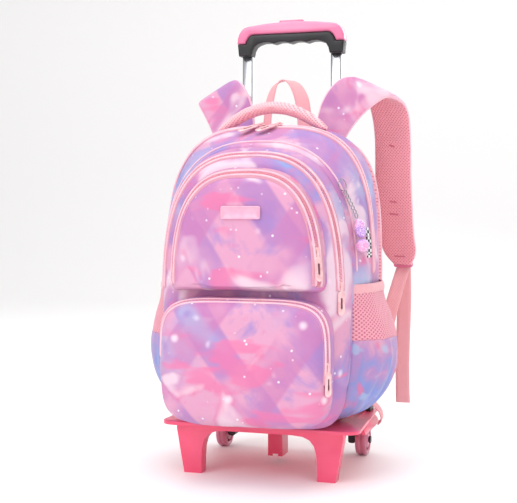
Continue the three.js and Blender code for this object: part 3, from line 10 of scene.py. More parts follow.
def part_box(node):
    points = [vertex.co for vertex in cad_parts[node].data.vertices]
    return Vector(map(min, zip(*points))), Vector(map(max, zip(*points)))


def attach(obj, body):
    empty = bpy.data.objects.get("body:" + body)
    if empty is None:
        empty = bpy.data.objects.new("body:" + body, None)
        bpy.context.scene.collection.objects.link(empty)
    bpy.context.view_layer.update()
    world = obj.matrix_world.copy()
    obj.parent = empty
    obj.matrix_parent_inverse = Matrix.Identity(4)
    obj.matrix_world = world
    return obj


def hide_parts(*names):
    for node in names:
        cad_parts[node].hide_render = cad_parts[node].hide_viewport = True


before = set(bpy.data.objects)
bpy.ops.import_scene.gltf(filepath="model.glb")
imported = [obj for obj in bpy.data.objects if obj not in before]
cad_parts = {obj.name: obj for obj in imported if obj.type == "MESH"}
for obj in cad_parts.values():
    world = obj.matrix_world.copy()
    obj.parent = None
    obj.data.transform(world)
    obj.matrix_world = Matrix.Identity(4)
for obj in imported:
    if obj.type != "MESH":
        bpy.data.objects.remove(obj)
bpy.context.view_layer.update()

# Studio: the camera stands in front and a little to the right, at about the height of the upper pocket,
# over a pale floor that runs up behind into a white wall. Large soft lamps light it from all round.
BACK_PANEL_REAR = 0.012  # rear face of the back panel from the plane that the camera is measured from
SHIFT = Vector((0.0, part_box("back_panel")[1][1] - BACK_PANEL_REAR, 0.0))
CAMERA_AT = Vector((0.48095, -1.72835, 0.40721))
CAMERA_TURN = math.radians(17.0)
CAMERA_DIP = math.radians(2.2)
FOCAL_PIXELS = 1090.0
PHOTO_WIDE = 517.0
SENSOR = 36.0

lens = bpy.data.cameras.new("camera")
lens.sensor_width = SENSOR
lens.lens = FOCAL_PIXELS / PHOTO_WIDE * SENSOR
lens.clip_end = 20.0
camera = bpy.data.objects.new("camera", lens)
camera.location = CAMERA_AT + SHIFT
camera.rotation_euler = (math.pi / 2 - CAMERA_DIP, 0.0, CAMERA_TURN)
bpy.context.scene.collection.objects.link(camera)
bpy.context.scene.camera = camera
bpy.context.scene.view_settings.view_transform = "Standard"


def plain_mesh(name, points, faces):
    """A new smooth object from points and faces, at the origin of the frame."""
    mesh = bpy.data.meshes.new(name)
    mesh.from_pydata([tuple(p) for p in points], [], faces)
    mesh.update()
    mesh.polygons.foreach_set("use_smooth", [True] * len(mesh.polygons))
    made = bpy.data.objects.new(name, mesh)
    bpy.context.scene.collection.objects.link(made)
    return made


def sweep_floor():
    """Floor, quarter-round and wall in one sheet."""
    half, front, back, bend, top = 6.0, -6.0, 2.6, 1.2, 5.0
    profile = [(front, 0.0), (back, 0.0)]
    turns = [i * math.pi / 24 for i in range(1, 13)]
    profile += [(back + bend * math.sin(a), bend * (1 - math.cos(a))) for a in turns]
    profile.append((back + bend, top))
    points = [(side * half, y, z) for y, z in profile for side in (-1, 1)]
    faces = [(2 * i, 2 * i + 1, 2 * i + 3, 2 * i + 2) for i in range(len(profile) - 1)]
    return plain_mesh("studio_floor", points, faces)


def studio_paint(name, colour, rough=0.5):
    """A flat material for the room round the part."""
    made = bpy.data.materials.new(name)
    made.use_nodes = True
    shader = made.node_tree.nodes["Principled BSDF"]
    shader.inputs["Base Color"].default_value = (*colour, 1.0)
    shader.inputs["Roughness"].default_value = rough
    return made


floor = sweep_floor()
floor.data.materials.append(studio_paint("studio_white", (0.97, 0.965, 0.965), 0.6))

LAMPS = [
    {"name": "key", "at": (-1.5, -2.4, 2.3), "size": 2.0, "watts": 38.0},
    {"name": "fill", "at": (2.2, -1.9, 1.5), "size": 2.2, "watts": 17.0},
    {"name": "top", "at": (0.0, -0.3, 3.0), "size": 2.6, "watts": 40.0},
    {"name": "rear", "at": (0.9, 2.3, 1.7), "size": 1.8, "watts": 16.0},
]
LAMPS_AIM = Vector((0.0, 0.0, 0.35))
for lamp in LAMPS:
    light = bpy.data.lights.new(lamp["name"], "AREA")
    light.size = lamp["size"]
    light.energy = lamp["watts"]
    carrier = bpy.data.objects.new(lamp["name"], light)
    carrier.location = lamp["at"]
    aim = LAMPS_AIM - carrier.location
    carrier.rotation_euler = aim.to_track_quat("-Z", "Y").to_euler()
    bpy.context.scene.collection.objects.link(carrier)

world = bpy.data.worlds.new("studio_air")
world.use_nodes = True
world.node_tree.nodes["Background"].inputs["Color"].default_value = (1.0, 0.99, 0.99, 1.0)
world.node_tree.nodes["Background"].inputs["Strength"].default_value = 0.72
bpy.context.scene.world = world

# Two dark cards beside the camera are seen in reflections alone, and give tubes and gloss their edges.
CARDS = ((1.0, -2.3, 2.4, -0.9), (-2.6, -0.6, -2.2, 1.0))
CARD_LOW, CARD_HIGH = 0.1, 2.0
card_black = studio_paint("card_black", (0.02, 0.02, 0.02))
for index, (x0, y0, x1, y1) in enumerate(CARDS):
    corners = [(x0, y0, CARD_LOW), (x1, y1, CARD_LOW), (x1, y1, CARD_HIGH), (x0, y0, CARD_HIGH)]
    card = plain_mesh(f"studio_card_{index}", corners, [(0, 1, 2, 3)])
    card.data.materials.append(card_black)
    card.visible_camera = card.visible_diffuse = card.visible_shadow = card.visible_transmission = False


class Wire:
    """A value on its way through a material: sums written on it become Math nodes."""

    def __init__(self, paint, socket):
        self.paint, self.socket = paint, socket

    def sum(self, operation, first, second):
        return self.paint.node("ShaderNodeMath", {"operation": operation}, {0: first, 1: second})

    def __add__(self, other):
        return self.sum("ADD", self, other)

    def __radd__(self, other):
        return self.sum("ADD", other, self)

    def __sub__(self, other):
        return self.sum("SUBTRACT", self, other)

    def __rsub__(self, other):
        return self.sum("SUBTRACT", other, self)

    def __mul__(self, other):
        return self.sum("MULTIPLY", self, other)

    def fade(self, low, high):
        """0 below low, 1 above high, smooth between."""
        return self.paint.node("ShaderNodeMapRange", {"interpolation_type": "SMOOTHSTEP"},
                               {"Value": self, "From Min": low, "From Max": high})


class Paint:
    """A material with the nodes that its finish needs."""

    def __init__(self, name, **constants):
        self.material = bpy.data.materials.new(name)
        self.material.use_nodes = True
        self.tree = self.material.node_tree
        self.shader = self.tree.nodes["Principled BSDF"]
        for key, value in constants.items():
            self.shader.inputs[key.replace("_", " ")].default_value = value

    def node(self, kind, settings, sockets, out=0):
        made = self.tree.nodes.new(kind)
        for key, value in settings.items():
            if key == "stops":
                for index, (place, colour) in enumerate(value):
                    ramp = made.color_ramp.elements
                    stop = ramp[index] if index < 2 else ramp.new(place)
                    stop.position = place
                    stop.color = (*colour, 1.0)
            else:
                setattr(made, key, value)
        for key, value in sockets.items():
            self.feed(made.inputs[key], value)
        return Wire(self, made.outputs[out])

    def feed(self, socket, value):
        if isinstance(value, Wire):
            self.tree.links.new(value.socket, socket)
        else:
            socket.default_value = value

    def place(self, turn=(0.0, 0.0, 0.0), stretch=(1.0, 1.0, 1.0)):
        """Coordinates in the object's own metres, turned and stretched."""
        here = self.node("ShaderNodeTexCoord", {}, {}, "Object")
        return self.node("ShaderNodeMapping", {}, {"Vector": here, "Rotation": turn, "Scale": stretch})

    def cloud(self, where, scale, detail=2.0, rough=0.5, twist=0.0):
        """Soft noise."""
        return self.node("ShaderNodeTexNoise", {}, {
            "Vector": where, "Scale": scale, "Detail": detail, "Roughness": rough, "Distortion": twist})

    def stripes(self, where, period, twist=0.0):
        """Soft bands across X, one to each period in metres."""
        return self.node("ShaderNodeTexWave", {"bands_direction": "X"}, {
            "Vector": where, "Scale": math.pi / 10 / period, "Distortion": twist, "Detail": 1.0,
            "Detail Scale": 1.5}, 1)

    def mix(self, mask, first, second):
        """The first colour where the mask is 0, the second where it is 1."""
        first, second = ((*c, 1.0) if isinstance(c, tuple) else c for c in (first, second))
        return self.node("ShaderNodeMix", {"data_type": "RGBA"}, {0: mask, 6: first, 7: second}, 2)

    def finish(self, colour, rough, height=None, strength=0.3, reach=0.001):
        """Wires colour, roughness and relief to the shader."""
        self.feed(self.shader.inputs["Base Color"], colour)
        self.feed(self.shader.inputs["Roughness"], rough)
        if height is not None:
            bump = self.node("ShaderNodeBump", {}, {
                "Height": height, "Strength": strength, "Distance": reach})
            self.feed(self.shader.inputs["Normal"], bump)
        return self.material


WEAVE_PITCH = 0.0011


def weave(paint, pitch=WEAVE_PITCH, turn=0.0):
    """Over-and-under relief of crossing threads, seen from the front, the side or above."""
    along = paint.stripes(paint.place((0.0, 0.0, turn)), pitch)
    up = paint.stripes(paint.place((0.0, math.pi / 2, turn)), pitch)
    back = paint.stripes(paint.place((0.0, 0.0, math.pi / 2 + turn)), pitch)
    return along * 0.34 + up * 0.33 + back * 0.33


def toned(name, dark, light, scale, rough, spread, fade=None, height=None, strength=0.3, reach=0.001,
          detail=2.0, **constants):
    """A finish that drifts with one cloud. Its relief is the cloud's, or a weave of a pitch and turn."""
    paint = Paint(name, **constants)
    tone = paint.cloud(paint.place(), scale, detail)
    relief = weave(paint, *height) if isinstance(height, tuple) else height and tone
    colour = paint.mix(tone.fade(*fade) if fade else tone, dark, light)
    return paint.finish(colour, rough + tone * spread, relief, strength, reach)


def pitted(paint, turns, pitch, low, high, raised, sunk, rough, spread, strength, reach):
    """Knitted mesh: a pit wherever two sets of stripes cross, painted darker as shade in the pit."""
    one, two = (paint.stripes(paint.place(turn), pitch) for turn in turns)
    pit = (one * two).fade(low, high)
    # The pits take the second, darker colour: painted shade in the recesses.
    return paint.finish(paint.mix(pit, raised, sunk), rough + pit * spread, 1 - pit, strength, reach)


# Printed cloth: coated polyester with an overall wash of pink, lilac and pale blue, crossed by slanting
# mauve bands, rosy streaks and pale lights, with small glowing specks. Its weave is fine and plain.
PINK, ROSE, LILAC = (0.7, 0.33, 0.5), (0.72, 0.15, 0.34), (0.44, 0.25, 0.54)
PERIWINKLE, SKY, CREAM = (0.25, 0.28, 0.62), (0.36, 0.5, 0.74), (0.82, 0.63, 0.72)
STREAK, GLOW = (0.76, 0.16, 0.36), (1.0, 0.93, 0.98)
# Bands: turn, period, tint, share. Specks: scale, core, edge, share.
BANDS = ((0.62, 0.118, (0.38, 0.18, 0.48), 0.76), (-0.66, 0.131, (0.54, 0.18, 0.42), 0.72))
SPECKS = ((24.0, 0.03, 0.22, 0.6), (64.0, 0.03, 0.17, 0.9))


def printed_cloth(name, offset, blue, rosy):
    """The print, shifted to a place of its own and leaning to blue or to rose."""
    paint = Paint(name, Sheen_Weight=0.1, Sheen_Roughness=0.4)
    here = paint.place()
    moved = paint.node("ShaderNodeVectorMath", {"operation": "ADD"}, {0: here, 1: offset})
    wash = paint.cloud(moved, 11.0, 4.0, 0.6, 0.6)
    colour = paint.node("ShaderNodeValToRGB", {"stops": [
        (0.3, PERIWINKLE), (0.5, PINK), (0.4, LILAC), (0.6, PINK), (0.7, ROSE)]}, {0: wash + rosy - blue})
    for turn, period, tint, share in BANDS:
        slanted = paint.node("ShaderNodeMapping", {}, {"Vector": moved, "Rotation": (0.0, turn, 0.0)})
        band = paint.stripes(slanted, period, 0.7).fade(0.58, 0.72) * share
        colour = paint.mix(band * paint.cloud(moved, 13.0, 2.0).fade(0.3, 0.56), colour, tint)
    cool = paint.cloud(moved, 7.0, 2.0, 0.5, 0.4).fade(0.55 - blue, 0.72 - blue)
    pale = paint.mix(paint.cloud(moved, 21.0).fade(0.4, 0.6), PERIWINKLE, SKY)
    colour = paint.mix(cool * 0.75, colour, pale)
    flat = paint.node("ShaderNodeVectorMath", {"operation": "MULTIPLY"}, {0: moved, 1: (1.0, 1.0, 2.6)})
    streak = paint.cloud(flat, 12.0, 2.0, 0.5, 0.3).fade(0.56, 0.68)
    colour = paint.mix(streak * 0.7, colour, STREAK)
    light = paint.cloud(moved, 11.0, 2.0, 0.5, 0.8).fade(0.54, 0.66)
    colour = paint.mix(light * 0.85, colour, CREAM)
    for scale, core, edge, share in SPECKS:
        speck = paint.node("ShaderNodeTexVoronoi", {}, {"Vector": moved, "Scale": scale, "Randomness": 1.0})
        some = paint.cloud(moved, scale * 0.6, 0.0).fade(0.5, 0.56)
        colour = paint.mix((1 - speck.fade(core, edge)) * some * share, colour, GLOW)
    crease = paint.cloud(here, 45.0, 3.0, 0.6, 0.5)
    return paint.finish(colour, 0.42 + paint.cloud(here, 60.0) * 0.16,
                        weave(paint) * 0.3 + crease * 1.6, 0.3, 0.0016)


print_front = printed_cloth("print_front", (0.31, 0.1, 0.02), 0.0, 0.05)
print_lower = printed_cloth("print_lower", (1.36, 0.4, 0.47), 0.0, 0.07)
print_second = printed_cloth("print_second", (0.7, 1.3, 0.24), 0.03, 0.02)
print_main = printed_cloth("print_main", (2.17, 0.6, 1.1), 0.05, 0.03)
print_strap = printed_cloth("print_strap", (3.3, 0.2, 0.9), -0.04, 0.04)

# Bag: five compartments of that cloth over thin foam, each a shell sewn round its rim. Sizes are
# millimetres from the back panel's front plane and the floor.
MILLI = 0.001
RING = 176  # points round a shell
OUTLINE_STEPS = 720  # points of an outline before it is spaced evenly
SHOULDER, TOP_FALL, SEAT_GAP = 22, 13, 0.3
MAIN_DEPTH, FRONT_DEPTH, SECOND_DEPTH, UPPER_DEPTH, LOWER_DEPTH = 104, 64, 42, 32, 44
BAG_HALF, BAG_BOTTOM, BAG_TOP = 166, 80.3, 537
FRONT_PLANE = -SEAT_GAP
MAIN_ZIP_Y = FRONT_PLANE - MAIN_DEPTH
WALL_Y = MAIN_ZIP_Y - FRONT_DEPTH
SECOND_Y = WALL_Y - SECOND_DEPTH
# wide: height of the widest place. base: squareness below it. lean: how far the sides draw in.
# tuck: share of a ring's inset that its bottom takes, where that isn't all of it.
FORMS = {
    "bag": {"half": BAG_HALF, "bottom": BAG_BOTTOM, "wide": 313, "top": BAG_TOP, "base": 6, "lean": 0.03},
    "second": {"half": 148, "bottom": BAG_BOTTOM, "wide": 297, "top": 500, "base": 7, "lean": 0.06},
    "upper": {"half": 120, "bottom": 288, "wide": 301.5, "top": 469, "base": 12, "lean": 0.05,
              "tuck": 0.3},
    "lower": {"half": 130, "bottom": 90.3, "wide": 184.65, "top": 279, "base": 5, "lean": 0.01},
}
# Section rows from the rim forwards. forward: share of the depth. inset: share of the shoulder.
# fall: share of the top's slope. square: the corners.
SECTIONS = {
    "main": {"forward": (0, 0.14, 0.6, 1), "inset": (0.66, 0.42, 0, 0.06), "fall": (0, 0, 0, 0.05),
             "square": (4, 3.9, 3.7, 3.3)},
    "front": {"forward": (0, 0.35, 0.65, 1), "inset": (0.06, 0.14, 0.45, 0.95), "fall": (0.05, 0.8, 1, 1),
              "square": (3.3, 2.9, 2.6, 2.6)},
    "second": {"forward": (0, 0.5, 0.86, 1), "inset": (0, 0.34, 0.92, 1.35), "fall": (0, 0, 0, 0),
               "square": (2.8, 2.8, 2.8, 2.8)},
    "upper": {"forward": (0, 0.14, 0.76, 0.9, 0.98), "inset": (0, 0.08, 0.8, 1.3, 3), "fall": (0,) * 5,
              "square": (2.8,) * 5},
    "lower": {"forward": (0, 0.37, 0.72, 0.88, 0.97), "inset": (0, 0.05, 0.42, 1.05, 2.6), "fall": (0,) * 5,
              "square": (5,) * 5},
}
# Each compartment's form, section, rear plane, depth and shoulder.
MAIN = ("bag", "main", FRONT_PLANE, MAIN_DEPTH, SHOULDER)
FRONT = ("bag", "front", MAIN_ZIP_Y, FRONT_DEPTH, SHOULDER)
SECOND = ("second", "second", WALL_Y - SEAT_GAP, SECOND_DEPTH, 20)
UPPER = ("upper", "upper", SECOND_Y - 2 * SEAT_GAP, UPPER_DEPTH, SHOULDER)
LOWER = ("lower", "lower", SECOND_Y - 2 * SEAT_GAP, LOWER_DEPTH, SHOULDER)


def spot(x, y, z):
    """A place in millimetres of the drawing, as metres of the frame."""
    return Vector((x * MILLI, y * MILLI, z * MILLI)) + SHIFT


def between(xs, ys, x):
    """A smooth curve through a table."""
    last = len(xs) - 1
    k = max(1, min(last, next((i for i, v in enumerate(xs) if v >= x), last)))
    span = xs[k] - xs[k - 1]
    ends = [(max(i - 1, 0), min(i + 1, last)) for i in (k - 1, k)]
    slope = [(ys[b] - ys[a]) / (xs[b] - xs[a]) for a, b in ends]
    t = (x - xs[k - 1]) / span
    rise = ys[k] - ys[k - 1]
    return (ys[k - 1] + rise * t * t * (3 - 2 * t) + slope[0] * span * t * (1 - t) ** 2
            - slope[1] * span * t * t * (1 - t))


def evenly(points, count, looped=True):
    """Resamples a line of points at even distances."""
    row = list(points) + ([points[0]] if looped else [])
    run = [0.0]
    for a, b in zip(row, row[1:]):
        run.append(run[-1] + (b - a).length)
    made = []
    k = 1
    for i in range(count):
        want = run[-1] * i / (count if looped else count - 1)
        while k < len(row) - 1 and run[k] < want:
            k += 1
        made.append(row[k - 1].lerp(row[k], (want - run[k - 1]) / max(1e-12, run[k] - run[k - 1])))
    return made


def outline(form, y, inset, square, fall=0.0):
    """A shell's outline seen from the front, from the middle of its bottom edge and round by the right."""
    points = []
    for i in range(OUTLINE_STEPS):
        turn = 2 * math.pi * i / OUTLINE_STEPS - math.pi / 2
        c, s = math.cos(turn), math.sin(turn)
        power = 2 / (square if s >= 0 else form["base"])
        up = abs(s) ** power
        low = form["bottom"] + inset * form.get("tuck", 1.0)
        reach = form["top"] - fall - inset - form["wide"] if s >= 0 else form["wide"] - low
        x = (form["half"] - inset) * math.copysign(abs(c) ** power, c) * (1 - form["lean"] * up)
        points.append(spot(x, y, form["wide"] + math.copysign(reach * up, s)))
    return evenly(points, RING)


def ring_at(form, section, y, depth, shoulder, share, grow=0.0):
    """The shell's outline at a share of its depth, grown by so many millimetres."""
    rows = SECTIONS[section]
    look = {key: between(rows["forward"], rows[key], share) for key in ("inset", "fall", "square")}
    return outline(FORMS[form], y - share * depth, look["inset"] * shoulder - grow, look["square"],
                   look["fall"] * TOP_FALL)


def grid_faces(rows, columns, looped):
    """Faces between neighbouring rows of points; looped closes each row."""
    across = [(c, (c + 1) % columns) for c in range(columns if looped else columns - 1)]
    return [(r * columns + c, r * columns + d, (r + 1) * columns + d, (r + 1) * columns + c)
            for r in range(rows - 1) for c, d in across]


def facing_out(made, middle):
    """Turns a surface's faces away from its middle."""
    made.data.update()
    away = sum(f.normal.dot(f.center - middle) * f.area for f in made.data.polygons)
    if away < 0:
        made.data.flip_normals()
    return made


def wrinkle(made, layers):
    """Moves a surface along its normals by layers of noise: (stretch in X, Y, Z, height in mm, seed)."""
    made.data.update()
    shifts = []
    for v in made.data.vertices:
        lift = 0.0
        for sx, sy, sz, height, seed in layers:
            at = Vector((v.co.x * sx, v.co.y * sy, v.co.z * sz + seed))
            finer = at * 1.9 + Vector((seed, 0, 0))
            lift += height * (noise.noise(at) + 0.55 * (0.5 - abs(noise.noise(finer))))
        shifts.append(v.normal * lift * MILLI)
    for v, shift in zip(made.data.vertices, shifts):
        v.co += shift
    made.data.update()


def thickened(made, thick):
    """Gives a sheet the thickness of its cloth, inwards."""
    solid = made.modifiers.new("cloth", "SOLIDIFY")
    solid.thickness = thick * MILLI
    solid.offset = -1.0


def bevelled(made, width, sharp, segments=2):
    """Breaks the edges that are sharper than an angle in degrees."""
    bevel = made.modifiers.new("edge", "BEVEL")
    bevel.width = width * MILLI
    bevel.segments = segments
    bevel.limit_method = "ANGLE"
    bevel.angle_limit = math.radians(sharp)
    return bevel


def turn_out(made):
    """Turns every closed body of a mesh the right way out."""
    work = bmesh.new()
    work.from_mesh(made.data)
    bmesh.ops.recalc_face_normals(work, faces=work.faces)
    work.to_mesh(made.data)
    work.free()


def copy_of(name, node):
    """A new object with a copy of a solid's mesh and no material."""
    made = bpy.data.objects.new(name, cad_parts[node].data.copy())
    made.data.materials.clear()
    bpy.context.scene.collection.objects.link(made)
    return made


def settle(made, material, body, slot, *nodes):
    """Takes a material unless it has its own, rides on a body and stands for solids. Its slot is not used.
    """
    if material:
        made.data.materials.append(material)
    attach(made, body)
    if nodes:
        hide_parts(*nodes)
    return made


CAP_RINGS = 18
SHELL_THICK = 1.7


def shell(name, run, cloth, slot, folds, closed=True, steps=26, puff=0.0):
    """A compartment: rings forwards along its section, then rings in over its front."""
    section, y, depth = run[1:4]
    reach = SECTIONS[section]["forward"][-1]
    rings = [ring_at(*run, reach * k / steps) for k in range(steps + 1)]
    points = [p for ring in rings for p in ring]
    count = len(rings)
    faces = grid_faces(count, RING, True)
    if closed:
        rim = rings[-1]
        middle = sum(rim, Vector()) / RING
        tip = spot(0, y - depth, 0).y
        for k in range(1, CAP_RINGS):
            share = 1 - k / CAP_RINGS
            for p in rim:
                q = middle.lerp(p, share)
                q.y = p.y + (tip - p.y) * (1 - share * share) - puff * MILLI * (1 - share ** 2.6)
                points.append(q)
        points.append(Vector((middle.x, tip - puff * MILLI, middle.z)))
        faces += [tuple(i + (count - 1) * RING for i in f) for f in grid_faces(CAP_RINGS, RING, True)]
        last = (count + CAP_RINGS - 2) * RING
        faces += [(last + i, last + (i + 1) % RING, len(points) - 1) for i in range(RING)]
    made = plain_mesh(name, points, faces)
    facing_out(made, sum(rings[0], Vector()) / RING)
    wrinkle(made, folds)
    thickened(made, SHELL_THICK)
    return settle(made, cloth, "frame", slot, name)


gusset_run = ("bag", "main", FRONT_PLANE, MAIN_DEPTH - SEAT_GAP, SHOULDER)
shell("main_gusset", gusset_run, print_main, "main_cloth",
      ((9, 14, 16, 1.1, 1.0), (26, 40, 30, 0.5, 2.0)), closed=False, steps=20)
shell("main_front", FRONT, print_main, "main_cloth", ((12, 16, 14, 0.9, 3.0), (30, 44, 26, 0.45, 4.0)))
shell("second_compartment", SECOND, print_second, "print_cloth",
      ((10, 20, 13, 0.9, 5.0), (32, 44, 30, 0.4, 6.0)))
upper_pocket = shell("upper_pocket", UPPER, print_front, "print_cloth",
                     ((9, 10, 12, 1.0, 7.0), (26, 30, 26, 0.4, 8.0)), steps=40, puff=1.2)
shell("lower_pocket", LOWER, print_lower, "print_cloth",
      ((8, 10, 11, 1.5, 9.0), (24, 28, 30, 0.55, 10.0)), steps=40, puff=2.2)

# Zips: moulded teeth on woven tape, with a thin piping cord sewn in along both sides. Each lies on the
# rounded edge of its own compartment. A thin dark cord beside each zip is painted shadow along its seam.
# A plain cord also runs down the front seam.
zip_tape = toned("zip_tape", (0.7, 0.3, 0.42), (0.8, 0.38, 0.48), 30.0, 0.66, 0.1,
                 height=(0.0009,), strength=0.5, reach=0.0005, Roughness=0.7, Sheen_Weight=0.2)
zip_teeth = toned("zip_teeth", (0.78, 0.24, 0.32), (0.88, 0.36, 0.42), 220.0, 0.3, 0.15, Coat_Weight=0.2)
piping_cloth = toned("piping_cloth", (0.9, 0.5, 0.62), (0.95, 0.62, 0.7), 55.0, 0.52, 0.2, (0.3, 0.7),
                     (0.0008, 0.7), 0.5, 0.0004, Roughness=0.6, Sheen_Weight=0.3)
seam_painted_shadow = toned("seam_painted_shadow", (0.2, 0.07, 0.2), (0.3, 0.12, 0.28), 80.0, 0.7, 0.2)
CORD_R, SHADE_R, SEAM_CORD_R, TEETH_PITCH = 1.75, 0.75, 1.5, 2.6
TOOTH_HALF, TOOTH_SHIFT = (0.85, 1.5, 0.75), 0.8
TAPE_EDGE, TAPE_SINK = 0.06, 0.4  # edges as a share of the run's width, and how far they turn down


def tube_along(points, radius, sides=8):
    """A round cord through points: its vertices and faces. Its ends are closed to a tip."""
    made = []
    across = Vector((0.0, 1.0, 0.0))
    for i, p in enumerate(points):
        ahead = (points[min(i + 1, len(points) - 1)] - points[max(i - 1, 0)]).normalized()
        across = (across - ahead * across.dot(ahead)).normalized()
        up = ahead.cross(across)
        r = radius * MILLI * (0.35 if i in (0, len(points) - 1) else 1.0)
        for k in range(sides):
            a = 2 * math.pi * k / sides
            made.append(p + across * (r * math.cos(a)) + up * (r * math.sin(a)))
    faces = grid_faces(len(points), sides, True)
    faces.append(tuple(reversed(range(sides))))
    faces.append(tuple(range((len(points) - 1) * sides, len(points) * sides)))
    return made, faces


class Parts:
    """Gathers points, faces and each face's material for one mesh of many small parts."""

    def __init__(self):
        self.points, self.faces, self.marks = [], [], []

    def add(self, points, faces, mark=0):
        start = len(self.points)
        self.points += points
        self.faces += [tuple(i + start for i in f) for f in faces]
        self.marks += [mark] * len(faces)

    def block(self, at, axes, half, mark=0):
        """A small block with its axes and half sizes in millimetres."""
        corners = [at + (axes[0] * (i * half[0]) + axes[1] * (j * half[1]) + axes[2] * (k * half[2])) * MILLI
                   for i in (-1, 1) for j in (-1, 1) for k in (-1, 1)]
        faces = [(0, 1, 3, 2), (4, 6, 7, 5), (0, 4, 5, 1), (2, 3, 7, 6), (0, 2, 6, 4), (1, 5, 7, 3)]
        if axes[0].cross(axes[1]).dot(axes[2]) < 0:
            faces = [tuple(reversed(f)) for f in faces]
        self.add(corners, faces, mark)

    def made(self, name, *materials):
        """The mesh of all of them."""
        piece = plain_mesh(name, self.points, self.faces)
        for material in materials:
            piece.data.materials.append(material)
        piece.data.polygons.foreach_set("material_index", self.marks)
        return piece


def on_shell(ring_a, ring_b, low_left, low_right):
    """Pairs of points and outward normals along a shell's shoulder, above a height on each side."""
    middle = sum(ring_a, Vector()) / len(ring_a)
    low = (spot(0, 0, low_left).z, spot(0, 0, low_right).z)
    rows = []
    for i, (p, q) in enumerate(zip(ring_a, ring_b)):
        if p.z < (low[1] if p.x > 0 else low[0]):
            continue
        along = ring_a[(i + 1) % len(ring_a)] - ring_a[i - 1]
        normal = along.cross(q - p).normalized()
        outward = Vector((p.x - middle.x, 0.0, p.z - middle.z))
        rows.append((p, q, normal if normal.dot(outward) > 0 else -normal))
    return rows


def zip_run(name, ring_a, ring_b, low_left, low_right, lift=0.9, gap=0.22):
    """One zip: tape, two rows of teeth that meet, a piping cord along each side, and a thin dark cord of
    painted shadow beside one of them.
    """
    rows = on_shell(ring_a, ring_b, low_left, low_right)
    parts = Parts()
    tape, lines, shade = [], ([], []), []
    for p, q, normal in rows:
        a, b = p.lerp(q, TAPE_EDGE), p.lerp(q, 1 - TAPE_EDGE)
        crest, sunk = normal * (lift * MILLI), normal * (TAPE_SINK * MILLI)
        tape += [a - sunk, a + crest, p.lerp(q, 0.5) + crest * 0.8, b + crest, b - sunk]
        for line, share in zip(lines, (0.5 - gap, 0.5 + gap)):
            line.append(p.lerp(q, share) + normal * ((lift + 0.5) * MILLI))
        # A thin dark cord just beyond the first piping cord: painted shadow along the seam.
        beside = p.lerp(q, 0.5 - gap) + (p - q).normalized() * (2.3 * MILLI)
        shade.append(beside + normal * (0.35 * MILLI))
    parts.add(tape, grid_faces(len(rows), 5, False), 0)
    for line in lines:
        parts.add(*tube_along(evenly(line, int(len(line) * 1.3), False), CORD_R), 2)
    parts.add(*tube_along(evenly(shade, len(shade), False), SHADE_R, 6), 3)
    centre = [p.lerp(q, 0.5) for p, q, _ in rows]
    length = sum((b - a).length for a, b in zip(centre, centre[1:]))
    count = int(length / MILLI / TEETH_PITCH)
    spots = evenly(centre, count, False)
    normals = evenly([n for _, _, n in rows], count, False)
    for i, at in enumerate(spots[:-1]):
        ahead = (spots[i + 1] - at).normalized()
        out = (normals[i] - ahead * normals[i].dot(ahead)).normalized()
        side = ahead.cross(out)
        shift = side * ((TOOTH_SHIFT if i % 2 else -TOOTH_SHIFT) * MILLI)
        parts.block(at + shift + out * ((lift + 0.35) * MILLI), (ahead, side, out), TOOTH_HALF, 1)
    made = parts.made(name + "_trim", zip_tape, zip_teeth, piping_cloth, seam_painted_shadow)
    settle(made, None, "frame", "zip", name)


ZIP_HALF, MAIN_ZIP_END = 8, 310
main_rings = [ring_at(*MAIN, 1 - ZIP_HALF / MAIN_DEPTH, 0.6), ring_at(*FRONT, ZIP_HALF / FRONT_DEPTH, 0.6)]
second_rings = [ring_at(*SECOND, share, 0.3) for share in (0.5, 0.86)]
upper_rings = [ring_at(*UPPER, share, 0.3) for share in (0.14, 0.76)]
lower_rings = [ring_at(*LOWER, share, 0.3) for share in (0.37, 0.72)]
zip_run("main_zip", *main_rings, MAIN_ZIP_END, MAIN_ZIP_END, 1.0)
zip_run("second_zip", *second_rings, 288, 288)
zip_run("upper_zip", *upper_rings, 294, 294, 0.9, 0.19)
zip_run("lower_zip", *lower_rings, 184.65, 154.65)

seam_pair = [ring_at(*FRONT, share, 0.2) for share in (0.79, 0.86)]
seam_cord = Parts()
seam_rows = on_shell(*seam_pair, MAIN_ZIP_END, MAIN_ZIP_END)
seam_line = [p.lerp(q, 0.5) + n * (0.9 * MILLI) for p, q, n in seam_rows]
seam_cord.add(*tube_along(evenly(seam_line, 220, False), SEAM_CORD_R))
settle(seam_cord.made("front_seam_cord", piping_cloth), None, "frame", "zip", "front_piping")

# Zip pulls: a die-cast slider with a bridge, and a long tab with a rounded end and a slot in it,
# lacquered pale pink; a dark sheet inside the slot is painted shade. The tabs hang down their seams,
# and two of them lie forwards on the main zip.
pull_lacquer = toned("pull_lacquer", (0.93, 0.5, 0.54), (0.97, 0.64, 0.66), 140.0, 0.24, 0.16,
                     (0.35, 0.65), True, 0.06, 0.0004, 3.0, Metallic=0.35, Coat_Weight=0.7,
                     Coat_Roughness=0.12)
slot_painted_shade = toned("slot_painted_shade", (0.16, 0.05, 0.09), (0.24, 0.08, 0.13), 200.0, 0.6, 0.2)
PULL_WIDE, PULL_LONG, SLIDER_LONG = 12.5, 36, 13


def capsule(half_wide, half_long, count=20):
    """Outline of a rounded bar, across and along."""
    turns = [2 * math.pi * i / count for i in range(count)]
    return [(half_wide * math.cos(a),
             half_wide * math.sin(a) + math.copysign(half_long - half_wide, math.sin(a))) for a in turns]


